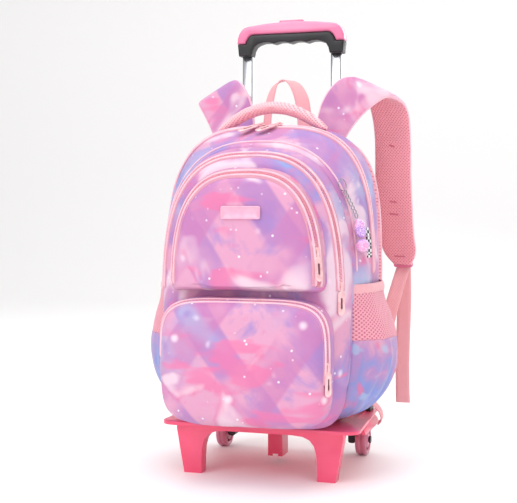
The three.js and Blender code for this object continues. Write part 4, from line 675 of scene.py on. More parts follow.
def zip_pull(name, at, normal, down):
    """Slider, bridge and tab on a surface at a place, the tab hanging along down."""
    out = normal.normalized()
    along = (down - out * down.dot(out)).normalized()
    side = along.cross(out)
    axes = (side, along, out)
    parts = Parts()
    for y, wide, low, high in ((-2.2, 4.0, 1.0, 2.2), (2.4, 3.2, 1.0, 2.2), (0.0, 1.6, 2.2, 4.4)):
        middle = at + along * (y * MILLI) + out * ((low + high) / 2 * MILLI)
        parts.block(middle, axes, (wide, 4.4, (high - low) / 2))
    outer, hole = capsule(PULL_WIDE / 2, PULL_LONG / 2), capsule(PULL_WIDE / 7, PULL_LONG / 4.4)
    centre = at + along * ((SLIDER_LONG / 2 + PULL_LONG / 2) * MILLI)

    def level(line, high, push=0.0, scale=1.0):
        """The tab's outline at a height over its seat."""
        return [centre + side * (x * scale * MILLI) + along * ((y * scale + push) * MILLI)
                + out * (high * MILLI) for x, y in line]
    low, high = 1.6, 4.2
    layers = [level(hole, low), level(outer, low, 0, 0.93), level(outer, low + 0.6),
              level(outer, high - 0.6), level(outer, high, 0, 0.93), level(hole, high, 0, 1.18),
              level(hole, high - 0.5)]
    points = [p for layer in layers for p in layer]
    parts.add(points, grid_faces(len(layers), len(outer), True))
    # A dark sheet inside the tab's slot: painted shade in place of what shows through the hole.
    parts.add(level(hole, low + 0.5), [tuple(range(len(hole)))], 1)
    parts.block(at + along * (7.5 * MILLI) + out * (3.2 * MILLI), axes, (2.1, 3.2, 0.9))
    made = parts.made(name + "_tab", pull_lacquer, slot_painted_shade)
    made.data.validate()
    bevelled(made, 0.35, 50)
    settle(made, None, "frame", "pull", name)


def shoulder_at(rings, z):
    """Place and normal on the right of a shell's shoulder at a height."""
    below, want = spot(0, 0, 500).z, spot(0, 0, z).z
    rows = [row for row in on_shell(*rings, 0, 0) if row[0].x > 0 and row[0].z < below]
    p, q, n = min(rows, key=lambda row: abs(row[0].z - want))
    return p.lerp(q, 0.5), n


DOWN = Vector((0, 0, -1))
ZIP_TOP = 537.2
for label, rings, z in (("second_pull", second_rings, 300), ("upper_pull", upper_rings, 348),
                        ("lower_pull", lower_rings, 186)):
    seat, facing = shoulder_at(rings, z)
    zip_pull(label, seat, facing, DOWN)
for label, x in (("main_pull_left", -11.6), ("main_pull_right", 16.6)):
    zip_pull(label, spot(x, MAIN_ZIP_Y, ZIP_TOP), Vector((0, -0.42, 1)), Vector((-0.75, -1, 0)))

# Name plate: a bare soft plastic plate with a raised rim, sewn to the upper pocket.
plate_plastic = toned("plate_plastic", (0.84, 0.38, 0.54), (0.88, 0.45, 0.6), 90.0, 0.34, 0.15, (0.3, 0.7),
                      True, 0.08, 0.0005, Coat_Weight=0.3, Coat_Roughness=0.3)
PLATE_HALF_WIDE, PLATE_HALF_HIGH, PLATE_R, PLATE_Z = 29.5, 9.5, 3.0, 403


def round_corners(half_x, half_z, radius, per_corner=6):
    """Outline of a rounded rectangle, across and up."""
    line = []
    for cx, cz, start in ((1, -1, -0.5), (1, 1, 0.0), (-1, 1, 0.5), (-1, -1, 1.0)):
        for k in range(per_corner + 1):
            a = math.pi * (start + 0.5 * k / per_corner)
            line.append((cx * (half_x - radius) + radius * math.cos(a),
                         cz * (half_z - radius) + radius * math.sin(a)))
    return line


upper_front = (min(v.co.y for v in upper_pocket.data.vertices) - SHIFT.y) / MILLI
plate_layers = []
for inset, proud in ((0, -1.4), (0, 1.2), (0.7, 1.9), (1.7, 1.9), (2.4, 0.7), (9.0, 0.7)):
    rim = round_corners(PLATE_HALF_WIDE - inset, PLATE_HALF_HIGH - inset, max(0.4, PLATE_R - inset))
    plate_layers.append([spot(x, upper_front - proud, PLATE_Z + z) for x, z in rim])
plate_points = [p for layer in plate_layers for p in layer]
plate_faces = grid_faces(len(plate_layers), len(rim), True)
plate_faces.append(tuple(range(len(plate_points) - len(rim), len(plate_points))))
name_plate = plain_mesh("blank_plate", plate_points, plate_faces)
facing_out(name_plate, spot(0, -235, PLATE_Z))
settle(name_plate, plate_plastic, "frame", "plate", "name_plate")

# Side pockets: gathered printed cloth below, coarse diamond net above it, and an elastic binding round
# the mouth, sewn into the bag's side seams. The gathers run up from the bottom seam.
# BULGE: heights as shares of the pocket's, and how far out the pocket stands there.
BULGE = ((0, 0.04, 0.13, 0.24, 0.38, 0.5, 0.62, 0.75, 0.87, 1.0),
         (-0.12, 0.26, 0.53, 0.79, 0.98, 1.0, 0.9, 0.66, 0.36, 0.2))
SIDE_LOW, SIDE_TOP, SIDE_FRONT, SIDE_REAR, SIDE_BULGE = 88.3, 297, -163, 0, 36


def bag_half(y, z):
    """Half width of the bag's side at a place, in millimetres."""
    section, start, depth = MAIN[1:4] if y >= MAIN_ZIP_Y else FRONT[1:4]
    rows = SECTIONS[section]
    share = min(1.0, max(0.0, (start - y) / depth))
    inset, square, fall = (between(rows["forward"], rows[key], share) for key in ("inset", "square", "fall"))
    form = FORMS["bag"]
    inset *= SHOULDER
    above = z >= form["wide"]
    reach = form["top"] - fall * TOP_FALL - form["wide"] if above else form["wide"] - form["bottom"]
    up = min(1.0, max(0.0, abs(z - form["wide"]) / (reach - inset)))
    power = square if above else form["base"]
    return (form["half"] - inset) * (1 - up ** power) ** (1 / power) * (1 - form["lean"] * up)


def pocket_place(side, u, z, lift=0.0):
    """A point of a side pocket: u runs from its front seam to its rear one."""
    rise = between(*BULGE, (z - SIDE_LOW) / (SIDE_TOP - SIDE_LOW))
    y = SIDE_FRONT + (SIDE_REAR - SIDE_FRONT) * u
    swell = max(0.0, math.sin(math.pi * u)) ** 0.7
    return spot(side * (bag_half(y, z) + SIDE_BULGE * rise * swell - 0.8 + lift), y, z)


def pocket_sheet(name, side, z0, z1, rows, columns, lift):
    """A sheet of a side pocket between two heights, lifted by a function of its place."""
    points = []
    for r in range(rows + 1):
        z = z0 + (z1 - z0) * r / rows
        for c in range(columns + 1):
            u = c / columns
            points.append(pocket_place(side, u, z, lift(u, z) * max(0.0, math.sin(math.pi * u)) ** 0.4))
    made = plain_mesh(name, points, grid_faces(rows + 1, columns + 1, False))
    return facing_out(made, spot(0, -80, 180))


def gathers(u, z):
    """Pleats that fade upwards from the bottom seam, over a slow drape."""
    high = z - SIDE_LOW
    fall = max(0.0, 1 - high / 150)
    pleat = math.sin(u * 44 + 2.6 * noise.noise(Vector((u * 6, z * 0.02, 3.0))))
    drape = noise.noise(Vector((u * 5, z * 0.018, 8.0)))
    return (3.1 * pleat * fall ** 1.1 * min(1.0, 0.3 + high / 30)
            + 2.6 * drape * (1 - 0.5 * fall) * math.sin(math.pi * high / 240))


def slack(u, z):
    """The net's gentle waves."""
    return 1.6 * noise.noise(Vector((u * 4, z * 0.03, 5.0)))


def ribbed(u, z):
    """The binding's round section and small gathers."""
    return 0.5 + 1.7 * math.sin(math.pi * min(1, max(0, (z - BINDING_LOW) / 14))) + 0.5 * math.sin(u * 90)


pocket_paint = Paint("pocket_cloth", Roughness=0.5, Sheen_Weight=0.25)
pocket_here = pocket_paint.place()
pocket_wash = pocket_paint.cloud(pocket_here, 17.0, 3.0, 0.55, 0.8)
pocket_high = pocket_paint.node("ShaderNodeSeparateXYZ", {}, {0: pocket_here}, 2)
pocket_colour = pocket_paint.node("ShaderNodeValToRGB", {"stops": [
    (0.3, (0.2, 0.3, 0.78)), (0.56, LILAC), (0.42, PERIWINKLE), (0.68, PINK)]},
    {0: pocket_wash + (pocket_high - 0.14)})
for scale, low, high, share, tint in ((24.0, 0.57, 0.66, 0.8, ROSE), (33.0, 0.6, 0.72, 0.7, SKY)):
    patch = pocket_paint.cloud(pocket_here, scale, 2.0).fade(low, high)
    pocket_colour = pocket_paint.mix(patch * share, pocket_colour, tint)
pocket_folds = pocket_paint.cloud(pocket_paint.place((0, 0, 0), (1, 1, 0.16)), 62.0, 1.0, 0.4)
pocket_grain = weave(pocket_paint) * 0.1 + pocket_paint.cloud(pocket_here, 60.0, 3.0) * 0.3
pocket_cloth = pocket_paint.finish(pocket_colour, 0.45 + pocket_wash * 0.1, pocket_grain + pocket_folds,
                                   0.7, 0.0045)
diamond_net = pitted(Paint("diamond_net", Roughness=0.75, Sheen_Weight=0.2),
                     ((math.pi / 4, 0, math.pi / 2), (-math.pi / 4, 0, math.pi / 2)), 0.0042, 0.1, 0.7,
                     (0.88, 0.37, 0.46), (0.66, 0.15, 0.25), 0.6, 0.2, 0.8, 0.0016)
binding_paint = Paint("elastic_binding", Roughness=0.75, Sheen_Weight=0.3)
binding_rib = binding_paint.stripes(binding_paint.place((0, 0, math.pi / 2)), 0.0016)
# The binding's ribs are painted darker in their grooves and lighter on their ridges: painted shade and
# light.
elastic_binding = binding_paint.finish(binding_paint.mix(binding_rib, (0.86, 0.38, 0.44), (0.94, 0.5, 0.54)),
                                       0.66 + binding_rib * 0.12, binding_rib, 0.6, 0.0006)

NET_LOW, BINDING_LOW = 213.5, 283.5
# Name, low and high edge, rows, columns, lift, thickness, material, finish and the solid's name.
POCKET_SHEETS = (
    ("pocket_base", SIDE_LOW - 3, NET_LOW + 1, 70, 96, gathers, 1.2, pocket_cloth, "pocket_cloth", "base"),
    ("pocket_net", NET_LOW, BINDING_LOW + 1, 44, 72, slack, 1.2, diamond_net, "net", "mesh"),
    ("pocket_binding", BINDING_LOW, SIDE_TOP + 0.5, 12, 72, ribbed, 2.0, elastic_binding, "webbing", "band"),
)
for label, side in (("left", -1), ("right", 1)):
    for name, low, high, rows, columns, lift, thick, material, slot, node in POCKET_SHEETS:
        sheet = pocket_sheet(f"{name}_{label}", side, low, high, rows, columns, lift)
        thickened(sheet, thick)
        settle(sheet, material, "frame", slot, f"side_pocket_{node}_{label}")

# Webbing: flat salmon tape woven in a herringbone. It makes the hang loop, the straps' adjusters and
# their anchors, and narrower tape makes the ties that hold the bag to the tray.
web_paint = Paint("woven_webbing", Roughness=0.72, Sheen_Weight=0.25)
web_rib = web_paint.stripes(web_paint.place((0, 0.5, 0.0)), 0.0024, 0.2)
web_cross = web_paint.stripes(web_paint.place((0, -0.5 + math.pi / 2, 0.0)), 0.0018)
web_tone = web_paint.cloud(web_paint.place(), 40.0, 2.0)
# The tape's colour is partly painted shade, darker in the grooves of its rib, and partly a random drift in
# tone.
woven_webbing = web_paint.finish(
    web_paint.mix(web_rib * 0.5 + web_tone * 0.4, (0.86, 0.36, 0.4), (0.95, 0.52, 0.55)),
    0.62 + web_tone * 0.2, web_rib * 0.6 + web_cross * 0.4, 0.6, 0.0007)


def smooth_line(points, count):
    """A smooth line through points, resampled evenly."""
    line = []
    for i in range(len(points) - 1):
        before, after = points[max(0, i - 1)], points[min(len(points) - 1, i + 2)]
        a, b = points[i], points[i + 1]
        for k in range(12):
            t = k / 12
            t2, t3 = t * t, t * t * t
            line.append(0.5 * ((2 * a) + (b - before) * t + (2 * before - 5 * a + 4 * b - after) * t2
                               + (3 * a - before - 3 * b + after) * t3))
    line.append(points[-1].copy())
    return evenly(line, count, False)


def band(name, edges, thick, section, steps, materials, mark=None):
    """A flat or padded band between two edge lines. Its section holds shares of width and thickness."""
    near = smooth_line([a for a, _ in edges], steps)
    far = smooth_line([b for _, b in edges], steps)
    points = []
    for i, (a, b) in enumerate(zip(near, far)):
        on, back = min(i + 1, steps - 1), max(0, i - 1)
        ahead = near[on] - near[back] + far[on] - far[back]
        across = b - a
        normal = across.cross(ahead).normalized()
        points += [a + across * u + normal * (v * thick * MILLI) for u, v in section]
    n = len(section)
    faces = grid_faces(steps, n, True)
    marks = [mark(section[f[0] % n], section[f[1] % n]) if mark else 0 for f in faces]
    faces += [tuple(range(n)), tuple(reversed(range((steps - 1) * n, steps * n)))]
    marks += [0, 0]
    made = plain_mesh(name, points, faces)
    for material in materials:
        made.data.materials.append(material)
    made.data.polygons.foreach_set("material_index", marks)
    volume = sum(f.center.dot(f.normal) * f.area for f in made.data.polygons)
    if volume < 0:
        made.data.flip_normals()
    return made


WEB_SECTION = [(0, 0), (0.03, 0.5), (0.25, 0.44), (0.5, 0.42), (0.75, 0.44), (0.97, 0.5), (1, 0),
               (0.97, -0.5), (0.75, -0.44), (0.5, -0.42), (0.25, -0.44), (0.03, -0.5)]
WEB_WIDE, WEB_THICK, HEM_THICK, LOOP_THICK = 24, 1.8, 2.6, 2.0
LOOP_SPAN, LOOP_RISE = 38, 80
# x: share of the span. rise: share of the loop's rise. turn: how the tape lies, seen from above.
LOOP_ROWS = (
    (0.86, -0.12, 0.15), (0.8, 0.3, 0.2), (0.66, 0.68, 0.35), (0.34, 0.95, 0.8), (-0.1, 1.02, 1.5),
    (-0.48, 0.93, 2.0), (-0.7, 0.66, 2.3), (-0.82, 0.3, 2.3), (-0.88, -0.12, 2.4),
)


def webbing(name, rows, thick, steps, *nodes):
    """A run of tape through pairs of points on its edges."""
    made = band(name, rows, thick, WEB_SECTION, steps, [woven_webbing])
    settle(made, None, "frame", "webbing", *nodes)


def edge_pair(at, half):
    """The tape's two edges about a place, in millimetres."""
    return spot(*(at - half)), spot(*(at + half))


loop_rows = []
for x, rise, turn in LOOP_ROWS:
    at = Vector((x * LOOP_SPAN, FRONT_PLANE, BAG_TOP + rise * LOOP_RISE))
    loop_rows.append(edge_pair(at, Vector((math.cos(turn), math.sin(turn) * 0.7, 0)) * (WEB_WIDE / 2)))
webbing("webbing_hang_loop", loop_rows, LOOP_THICK, 90, "hang_loop")

# Shoulder straps: foam between printed cloth above and deep pink spacer mesh below, bound round the edge
# with tape. Each narrows to webbing, with bar tacks across it, and ends in a ladder-lock buckle.
spacer_mesh = pitted(Paint("spacer_mesh", Roughness=0.8, Sheen_Weight=0.4),
                     ((0, 0.75, 0.4), (0, -0.75, 0.4)), 0.0034, 0.1, 0.9, (0.9, 0.36, 0.42),
                     (0.72, 0.17, 0.25), 0.7, 0.15, 0.7, 0.0014)
seam_thread = toned("seam_thread", (0.62, 0.12, 0.2), (0.74, 0.2, 0.28), 300.0, 0.5, 0.2)
STRAP_SECTION = []
for k in range(28):
    a = 2 * math.pi * k / 28
    u, v = 0.5 - 0.5 * math.copysign(abs(math.cos(a)) ** 0.55, math.cos(a)), math.sin(a)
    STRAP_SECTION.append((u, 0.5 * math.copysign(abs(v) ** 0.7, v)))
# Pairs of an inner and an outer edge. x: share of the bag's half width. y: share of the reach.
# up: share of the rise above the bag's top. down: share of the way from that top to the strap's end.
STRAP_ROWS = {
    "right": [
        ((0.3, -0.09, -0.12), (0.62, -0.09, -0.16)), ((0.37, -0.08, 0.5), (0.72, -0.03, 0.14)),
        ((0.5, -0.03, 0.9), (0.83, 0.1, 0.4)), ((0.62, 0.12, 1.0), (0.97, 0.3, 0.62)),
        ((0.68, 0.36, 0.93), (1.08, 0.52, 0.58)), ((0.74, 0.6, 0.6), (1.13, 0.7, 0.42)),
        ((0.78, 0.78, 0, 0), (1.15, 0.8, 0, 0)), ((0.78, 0.88, 0, 0.36), (1.15, 0.9, 0, 0.36)),
        ((0.8, 0.95, 0, 0.73), (1.17, 0.96, 0, 0.73)), ((0.86, 0.98, 0, 0.9), (1.19, 0.99, 0, 0.9)),
        ((0.96, 0.99, 0, 0.99), (1.14, 1.0, 0, 1.0)),
    ],
    "left": [
        ((0.3, -0.09, -0.12), (0.72, -0.09, -0.2)), ((0.33, -0.09, 0.52), (0.83, 0.02, 0.2)),
        ((0.46, -0.07, 0.97), (0.95, 0.14, 0.55)), ((0.63, 0.11, 0.92), (0.97, 0.36, 0.58)),
        ((0.64, 0.38, 0.85), (0.95, 0.56, 0.5)), ((0.6, 0.64, 0.4), (0.93, 0.74, 0.25)),
        ((0.56, 0.8, 0, 0.05), (0.92, 0.82, 0, 0.05)), ((0.54, 0.9, 0, 0.4), (0.91, 0.91, 0, 0.4)),
        ((0.55, 0.96, 0, 0.75), (0.92, 0.97, 0, 0.75)), ((0.6, 0.98, 0, 0.91), (0.94, 0.99, 0, 0.91)),
        ((0.69, 0.99, 0, 0.99), (0.87, 1.0, 0, 1.0)),
    ],
}
STRAP_REACH, STRAP_RISE, STRAP_END_Z, STRAP_STEPS, STRAP_THICK = 112, 84, 313, 130, 10.0
BINDING_SHARE = 0.045  # of the strap's width, along each edge


def strap_spot(side, x, y, up, down=None):
    """A point of a strap's edge."""
    z = BAG_TOP + up * STRAP_RISE if down is None else BAG_TOP - down * (BAG_TOP - STRAP_END_Z)
    return spot(side * x * BAG_HALF, y * STRAP_REACH, z)


def strap_face(first, second):
    """Binding along the edges, print on one face, mesh on the other."""
    middle = (first[0] + second[0]) / 2
    if middle < BINDING_SHARE or middle > 1 - BINDING_SHARE:
        return 2
    return 0 if first[1] + second[1] > 0 else 1


def tape_row(x, y, z):
    """A row of level tape about a place."""
    return spot(x - WEB_WIDE / 2, y, z), spot(x + WEB_WIDE / 2, y, z)


BAR_TACKS = ((70, 5.5), (97, 6.5), (103, 7.5), (124, 9.5))  # step along the strap, half width
STITCH = (0.42, 1.5, 0.45)
TAIL_END = 77
# Ties: out from the tray's edge, share of the reach to the rear, share of the bag's bottom height.
TIE_ROWS = ((-20, 0.05, 1.36), (-4, 0.34, 1.17), (6.5, 0.62, 0.98), (8.5, 0.78, 0.79), (2.4, 0.8, 0.7))
TIE_HALF, TIE_X, TIE_REACH = 5.5, 146, 44

for label, side in (("left", -1), ("right", 1)):
    edges = [(strap_spot(side, *inner), strap_spot(side, *outer)) for inner, outer in STRAP_ROWS[label]]
    faces_up = [print_strap, spacer_mesh] if side > 0 else [spacer_mesh, print_strap]
    strap = band(f"padded_strap_{label}", edges, STRAP_THICK, STRAP_SECTION, STRAP_STEPS,
                 [*faces_up, piping_cloth], strap_face)
    tacks = Parts()
    near, far = (smooth_line([pair[k] for pair in edges], STRAP_STEPS) for k in (0, 1))
    for row, wide in BAR_TACKS:
        a, b = near[row], far[row]
        ahead = (near[row + 1] - near[row - 1]).normalized()
        across = (b - a).normalized()
        up = across.cross(ahead).normalized()
        for face in (-1, 1):
            for k in range(int(wide * 1.6)):
                x = (k - wide * 0.8) * 1.25
                at = a.lerp(b, 0.5) + across * (x * MILLI) + up * (face * STRAP_THICK / 2 * MILLI)
                tacks.block(at, (across, ahead, up), STITCH)
    settle(tacks.made(f"bar_tacks_{label}", seam_thread), None, "frame", "webbing")
    settle(strap, None, "frame", "spacer_mesh", f"strap_{label}")

    centre_x = ((edges[-1][0].x + edges[-1][1].x) / 2 - SHIFT.x) / MILLI
    behind = STRAP_REACH + 5.3
    buckle_z = STRAP_END_Z + 9
    tail_y = behind + 7.3
    tail_middle = (buckle_z + TAIL_END) / 2
    tail_rows = [(0.0, 0.9, buckle_z + 13), (0.0, 0.9, buckle_z - 13), (1.5, -3.5, tail_middle + 50),
                 (-1.0, -2.5, tail_middle - 50), (0.0, -3.5, TAIL_END)]
    webbing(f"webbing_end_{label}", [tape_row(centre_x + x, tail_y + y, z) for x, y, z in tail_rows],
            WEB_THICK, 110, f"webbing_tail_{label}")
    webbing(f"webbing_hem_{label}", [tape_row(centre_x, tail_y - 1.3, z) for z in (88, 76.5)], HEM_THICK, 8)
    anchor_x = side * (BAG_HALF - WEB_WIDE)
    slot_y = behind + WEB_THICK / 2 - 7
    anchor_top, anchor_low = buckle_z - 14.2, BAG_BOTTOM + 42
    anchor_rows = [tape_row(centre_x, slot_y + 7, anchor_top)]
    for x, y, z in ((0.6, 0.72, 0.66), (0.3, 0.4, 0.3)):
        anchor_rows.append(tape_row(x * centre_x + (1 - x) * anchor_x, y * slot_y,
                                    z * anchor_top + (1 - z) * anchor_low))
    anchor_rows.append(tape_row(anchor_x, 10.2, anchor_low))
    webbing(f"webbing_run_{label}", anchor_rows, WEB_THICK, 90, f"webbing_anchor_{label}")
    tie_half = Vector((0.15 * side, 0.8, 0.55)).normalized() * TIE_HALF
    tie_rows = [edge_pair(Vector((side * (TIE_X + out), y * TIE_REACH, z * BAG_BOTTOM)), tie_half)
                for out, y, z in TIE_ROWS]
    webbing(f"webbing_tie_{label}", tie_rows, WEB_THICK, 60, f"tray_tie_{label}")

# Carry handle, back panel and back pads: pale air mesh over foam on the handle, and the straps' spacer
# mesh on the others. Handle and pads are swollen from their solids by a cloth simulation.
air_paint = Paint("air_mesh", Roughness=0.8, Sheen_Weight=0.4)
# The air mesh is painted lighter on faces that look up and darker on faces that look down: painted light
# from above and painted shade underneath.
air_facing = air_paint.node("ShaderNodeNewGeometry", {}, {}, "Normal")
air_painted_toplight = air_paint.node("ShaderNodeSeparateXYZ", {}, {0: air_facing}, 2)
air_lit_and_shaded_tone = air_paint.mix(air_painted_toplight.fade(-0.5, 0.35), (0.9, 0.4, 0.46), (0.95, 0.55, 0.6))
air_mesh = pitted(air_paint, ((0, 0.75, 0.3), (0, -0.75, 0.3)), 0.0036, 0.3, 0.62, air_lit_and_shaded_tone,
                  (0.66, 0.21, 0.28), 0.72, 0.12, 0.6, 0.0012)
SWELL_FRAMES = 20


def swollen(name, node, shrink, voxel=4.0, pressure=3.5, cap=4.0):
    """A soft copy of a solid: remeshed, swollen by pressure no further than a cap, and subdivided."""
    made = copy_of(name, node)
    bpy.context.view_layer.objects.active = made
    made.select_set(True)
    remesh = made.modifiers.new("even", "REMESH")
    remesh.mode = "VOXEL"
    remesh.voxel_size = voxel * MILLI
    bpy.ops.object.modifier_apply(modifier="even")
    made.data.update()
    for v in made.data.vertices:
        v.co -= v.normal * (shrink * MILLI)
    made.data.update()
    start = [v.co.copy() for v in made.data.vertices]
    soft = made.modifiers.new("swell", "CLOTH")
    soft.settings.use_pressure = True
    soft.settings.uniform_pressure_force = pressure
    soft.settings.effector_weights.gravity = 0.0
    soft.settings.quality = 5
    soft.point_cache.frame_end = SWELL_FRAMES
    for step in range(1, SWELL_FRAMES + 1):
        bpy.context.scene.frame_set(step)
    bpy.ops.object.modifier_apply(modifier="swell")
    bpy.context.scene.frame_set(1)
    for v, rest in zip(made.data.vertices, start):
        move = v.co - rest
        if move.length > cap * MILLI:
            v.co = rest + move.normalized() * (cap * MILLI)
    finer = made.modifiers.new("finer", "SUBSURF")
    finer.levels = finer.render_levels = 1
    bpy.ops.object.modifier_apply(modifier="finer")
    made.select_set(False)
    relax = made.modifiers.new("relax", "SMOOTH")
    relax.iterations = 3
    made.data.polygons.foreach_set("use_smooth", [True] * len(made.data.polygons))
    return made


carry_handle = swollen("padded_carry_handle", "carry_handle", 1.0)
settle(carry_handle, air_mesh, "frame", "air_mesh", "carry_handle")
for label in ("lower", "upper"):
    pad = swollen(f"ventilated_pad_{label}", f"back_pad_{label}", 0.6)
    settle(pad, spacer_mesh, "frame", "air_mesh", f"back_pad_{label}")

# Back panel, ring by ring: place behind its front plane, and inset from the bag's outline.
PANEL_ROWS = ((12.0, 40.0), (12.6, 26.0), (12.0, 15.0), (9.6, 10.0), (6.4, 9.0), (0.6, 13.5), (0.0, 14.6))
PANEL_SQUARE, PANEL_CAP = 4.0, 14
panel_rings = [outline(FORMS["bag"], y, inset, PANEL_SQUARE) for y, inset in PANEL_ROWS]
middles = [sum(ring, Vector()) / RING for ring in (panel_rings[0], panel_rings[-1])]
rear_cap, front_cap = ([[p.lerp(middle, k / PANEL_CAP) for p in ring] for k in range(1, PANEL_CAP)]
                       for ring, middle in zip((panel_rings[0], panel_rings[-1]), middles))
panel_rings = rear_cap[::-1] + panel_rings + front_cap
panel_points = [p for ring in panel_rings for p in ring]
panel_faces = grid_faces(len(panel_rings), RING, True)
for first in (0, (len(panel_rings) - 1) * RING):
    panel_faces += [(first + i, first + (i + 1) % RING, len(panel_points)) for i in range(RING)]
    panel_points.append(middles[1 if first else 0])
back_panel = plain_mesh("padded_back_panel", panel_points, panel_faces)
turn_out(back_panel)
wrinkle(back_panel, ((9, 9, 9, 0.7, 21.0),))
settle(back_panel, spacer_mesh, "frame", "air_mesh", "back_panel")
rim_cord = Parts()
rim_line = outline(FORMS["bag"], 9.5, 9.2, PANEL_SQUARE)
rim_cord.add(*tube_along(rim_line + rim_line[:2], 2.0))
settle(rim_cord.made("back_rim_cord", piping_cloth), None, "frame", "zip")

# Trolley sleeve: a printed cloth band sewn to the back panel, through which both handle tubes pass.
SLEEVE_HALF, SLEEVE_LOW, SLEEVE_TALL, SLEEVE_R = 94.2, 363.4, 63.2, 9
SLEEVE_SEAM_Y, SLEEVE_FOLD_Y, SLEEVE_REAR_Y = 13.0, 22.0, 36.8
SLEEVE_STEPS, SLEEVE_ROWS = 120, 32
sleeve_profile = []
for cx, start in ((1, 0.0), (-1, 0.5)):
    for k in range(9):
        a = math.pi * (start + 0.5 * k / 8)
        sleeve_profile.append((cx * (SLEEVE_HALF - SLEEVE_R) + SLEEVE_R * math.cos(a),
                               SLEEVE_REAR_Y + SLEEVE_R * math.sin(a)))
seam = [(SLEEVE_HALF, SLEEVE_SEAM_Y), (SLEEVE_HALF, SLEEVE_FOLD_Y)]
sleeve_profile = seam + sleeve_profile + [(-x, y) for x, y in reversed(seam)]
sleeve_line = evenly([Vector((x, y, 0)) for x, y in sleeve_profile], SLEEVE_STEPS, False)
sleeve_points = []
for r in range(SLEEVE_ROWS + 1):
    z = SLEEVE_LOW + SLEEVE_TALL * r / SLEEVE_ROWS
    hem = 0.9 if r in (1, 2, SLEEVE_ROWS - 2, SLEEVE_ROWS - 1) else 0.0
    for p in sleeve_line:
        lift = hem + noise.noise(Vector((p.x * 0.02, p.y * 0.05, z * 0.04)))
        sleeve_points.append(spot(p.x, p.y + lift if p.y > 20 else p.y, z))
sleeve = plain_mesh("printed_sleeve", sleeve_points, grid_faces(SLEEVE_ROWS + 1, SLEEVE_STEPS, False))
facing_out(sleeve, spot(0, 20, 395))
thickened(sleeve, 1.6)
settle(sleeve, print_main, "frame", "main_cloth", "handle_sleeve")

# Tray and hard pieces: the tray is one injection moulding in coral pink, and the others are black or pink
# plastic. Edges are broken and skins have a faint moulded grain.


def softened(name, node, width, segments=2, sharp=28):
    """A copy of a solid with its flat faces joined and its edges broken by a small bevel."""
    made = copy_of(name, node)
    work = bmesh.new()
    work.from_mesh(made.data)
    bmesh.ops.remove_doubles(work, verts=work.verts, dist=0.01 * MILLI)
    bmesh.ops.dissolve_limit(work, angle_limit=math.radians(0.6), verts=work.verts, edges=work.edges)
    for face in work.faces:
        face.smooth = True
    work.to_mesh(made.data)
    work.free()
    bevelled(made, width, sharp, segments).harden_normals = True
    return made


def moulded(name, dark, light, grain, **constants):
    """Moulded plastic: a slight drift in colour, gloss that varies and a fine grain."""
    paint = Paint(name, **constants)
    drift = paint.cloud(paint.place(), 16.0, 2.0)
    skin = paint.cloud(paint.place(), 900.0, 2.0)
    scuff = paint.cloud(paint.place((0.3, 0.2, 0), (1, 1, 6)), 70.0, 3.0).fade(0.62, 0.75)
    return paint.finish(paint.mix(drift.fade(0.3, 0.7), dark, light), grain + scuff * 0.12 + drift * 0.06,
                        skin, 0.12, 0.0003)


tray_plastic = moulded("tray_plastic", (0.85, 0.07, 0.165), (0.92, 0.1, 0.21), 0.3, Coat_Weight=0.3,
                       Coat_Roughness=0.2, Subsurface_Weight=0.12, Subsurface_Scale=0.01)
black_plastic = moulded("black_plastic", (0.012, 0.012, 0.014), (0.022, 0.022, 0.025), 0.42, Coat_Weight=0.1)
grip_plastic = moulded("grip_plastic", (0.8, 0.17, 0.34), (0.86, 0.23, 0.4), 0.25, Coat_Weight=0.5,
                       Coat_Roughness=0.15)
for name, node, width, body, slot, material in (
    ("moulded_tray", "base_tray", 1.1, "frame", "tray", tray_plastic),
    ("black_rear_bar", "rear_bar", 0.8, "frame", "black", black_plastic),
    ("black_tube_collar", "tube_collar", 1.2, "frame", "black", black_plastic),
    ("axle_block_left", "axle_housing_left", 0.7, "frame", "black", black_plastic),
    ("axle_block_right", "axle_housing_right", 0.7, "frame", "black", black_plastic),
    ("strap_ladder_left", "strap_buckle_left", 0.7, "frame", "grip_pink", grip_plastic),
    ("strap_ladder_right", "strap_buckle_right", 0.7, "frame", "grip_pink", grip_plastic),
    ("black_grip_bar", "grip_bar", 0.9, "handle", "black", black_plastic),
    ("pink_grip_cover", "grip_cover", 1.2, "handle", "grip_pink", grip_plastic),
    ("pink_grip_button", "grip_button", 0.9, "grip_button", "grip_pink", grip_plastic),
):
    settle(softened(name, node, width), material, body, slot, node)

# Handle tubes: three drawn aluminium stages a side, polished bright, with faint lines along the draw.
tube_paint = Paint("drawn_tube", Metallic=1.0)
draw_line = tube_paint.cloud(tube_paint.place((0, 0, 0), (1, 1, 0.02)), 500.0, 2.0)
tube_tone = tube_paint.cloud(tube_paint.place(), 12.0)
drawn_tube = tube_paint.finish(tube_paint.mix(tube_tone, (0.4, 0.41, 0.44), (0.54, 0.55, 0.58)),
                               0.14 + draw_line * 0.14, draw_line, 0.05, 0.0002)
for stage, body in (("outer", "frame"), ("middle", "middle_tubes"), ("inner", "handle")):
    for label in ("left", "right"):
        tube = softened(f"drawn_{stage}_{label}", f"{stage}_tube_{label}", 0.3, 1)
        settle(tube, drawn_tube, body, "tube", f"{stage}_tube_{label}")

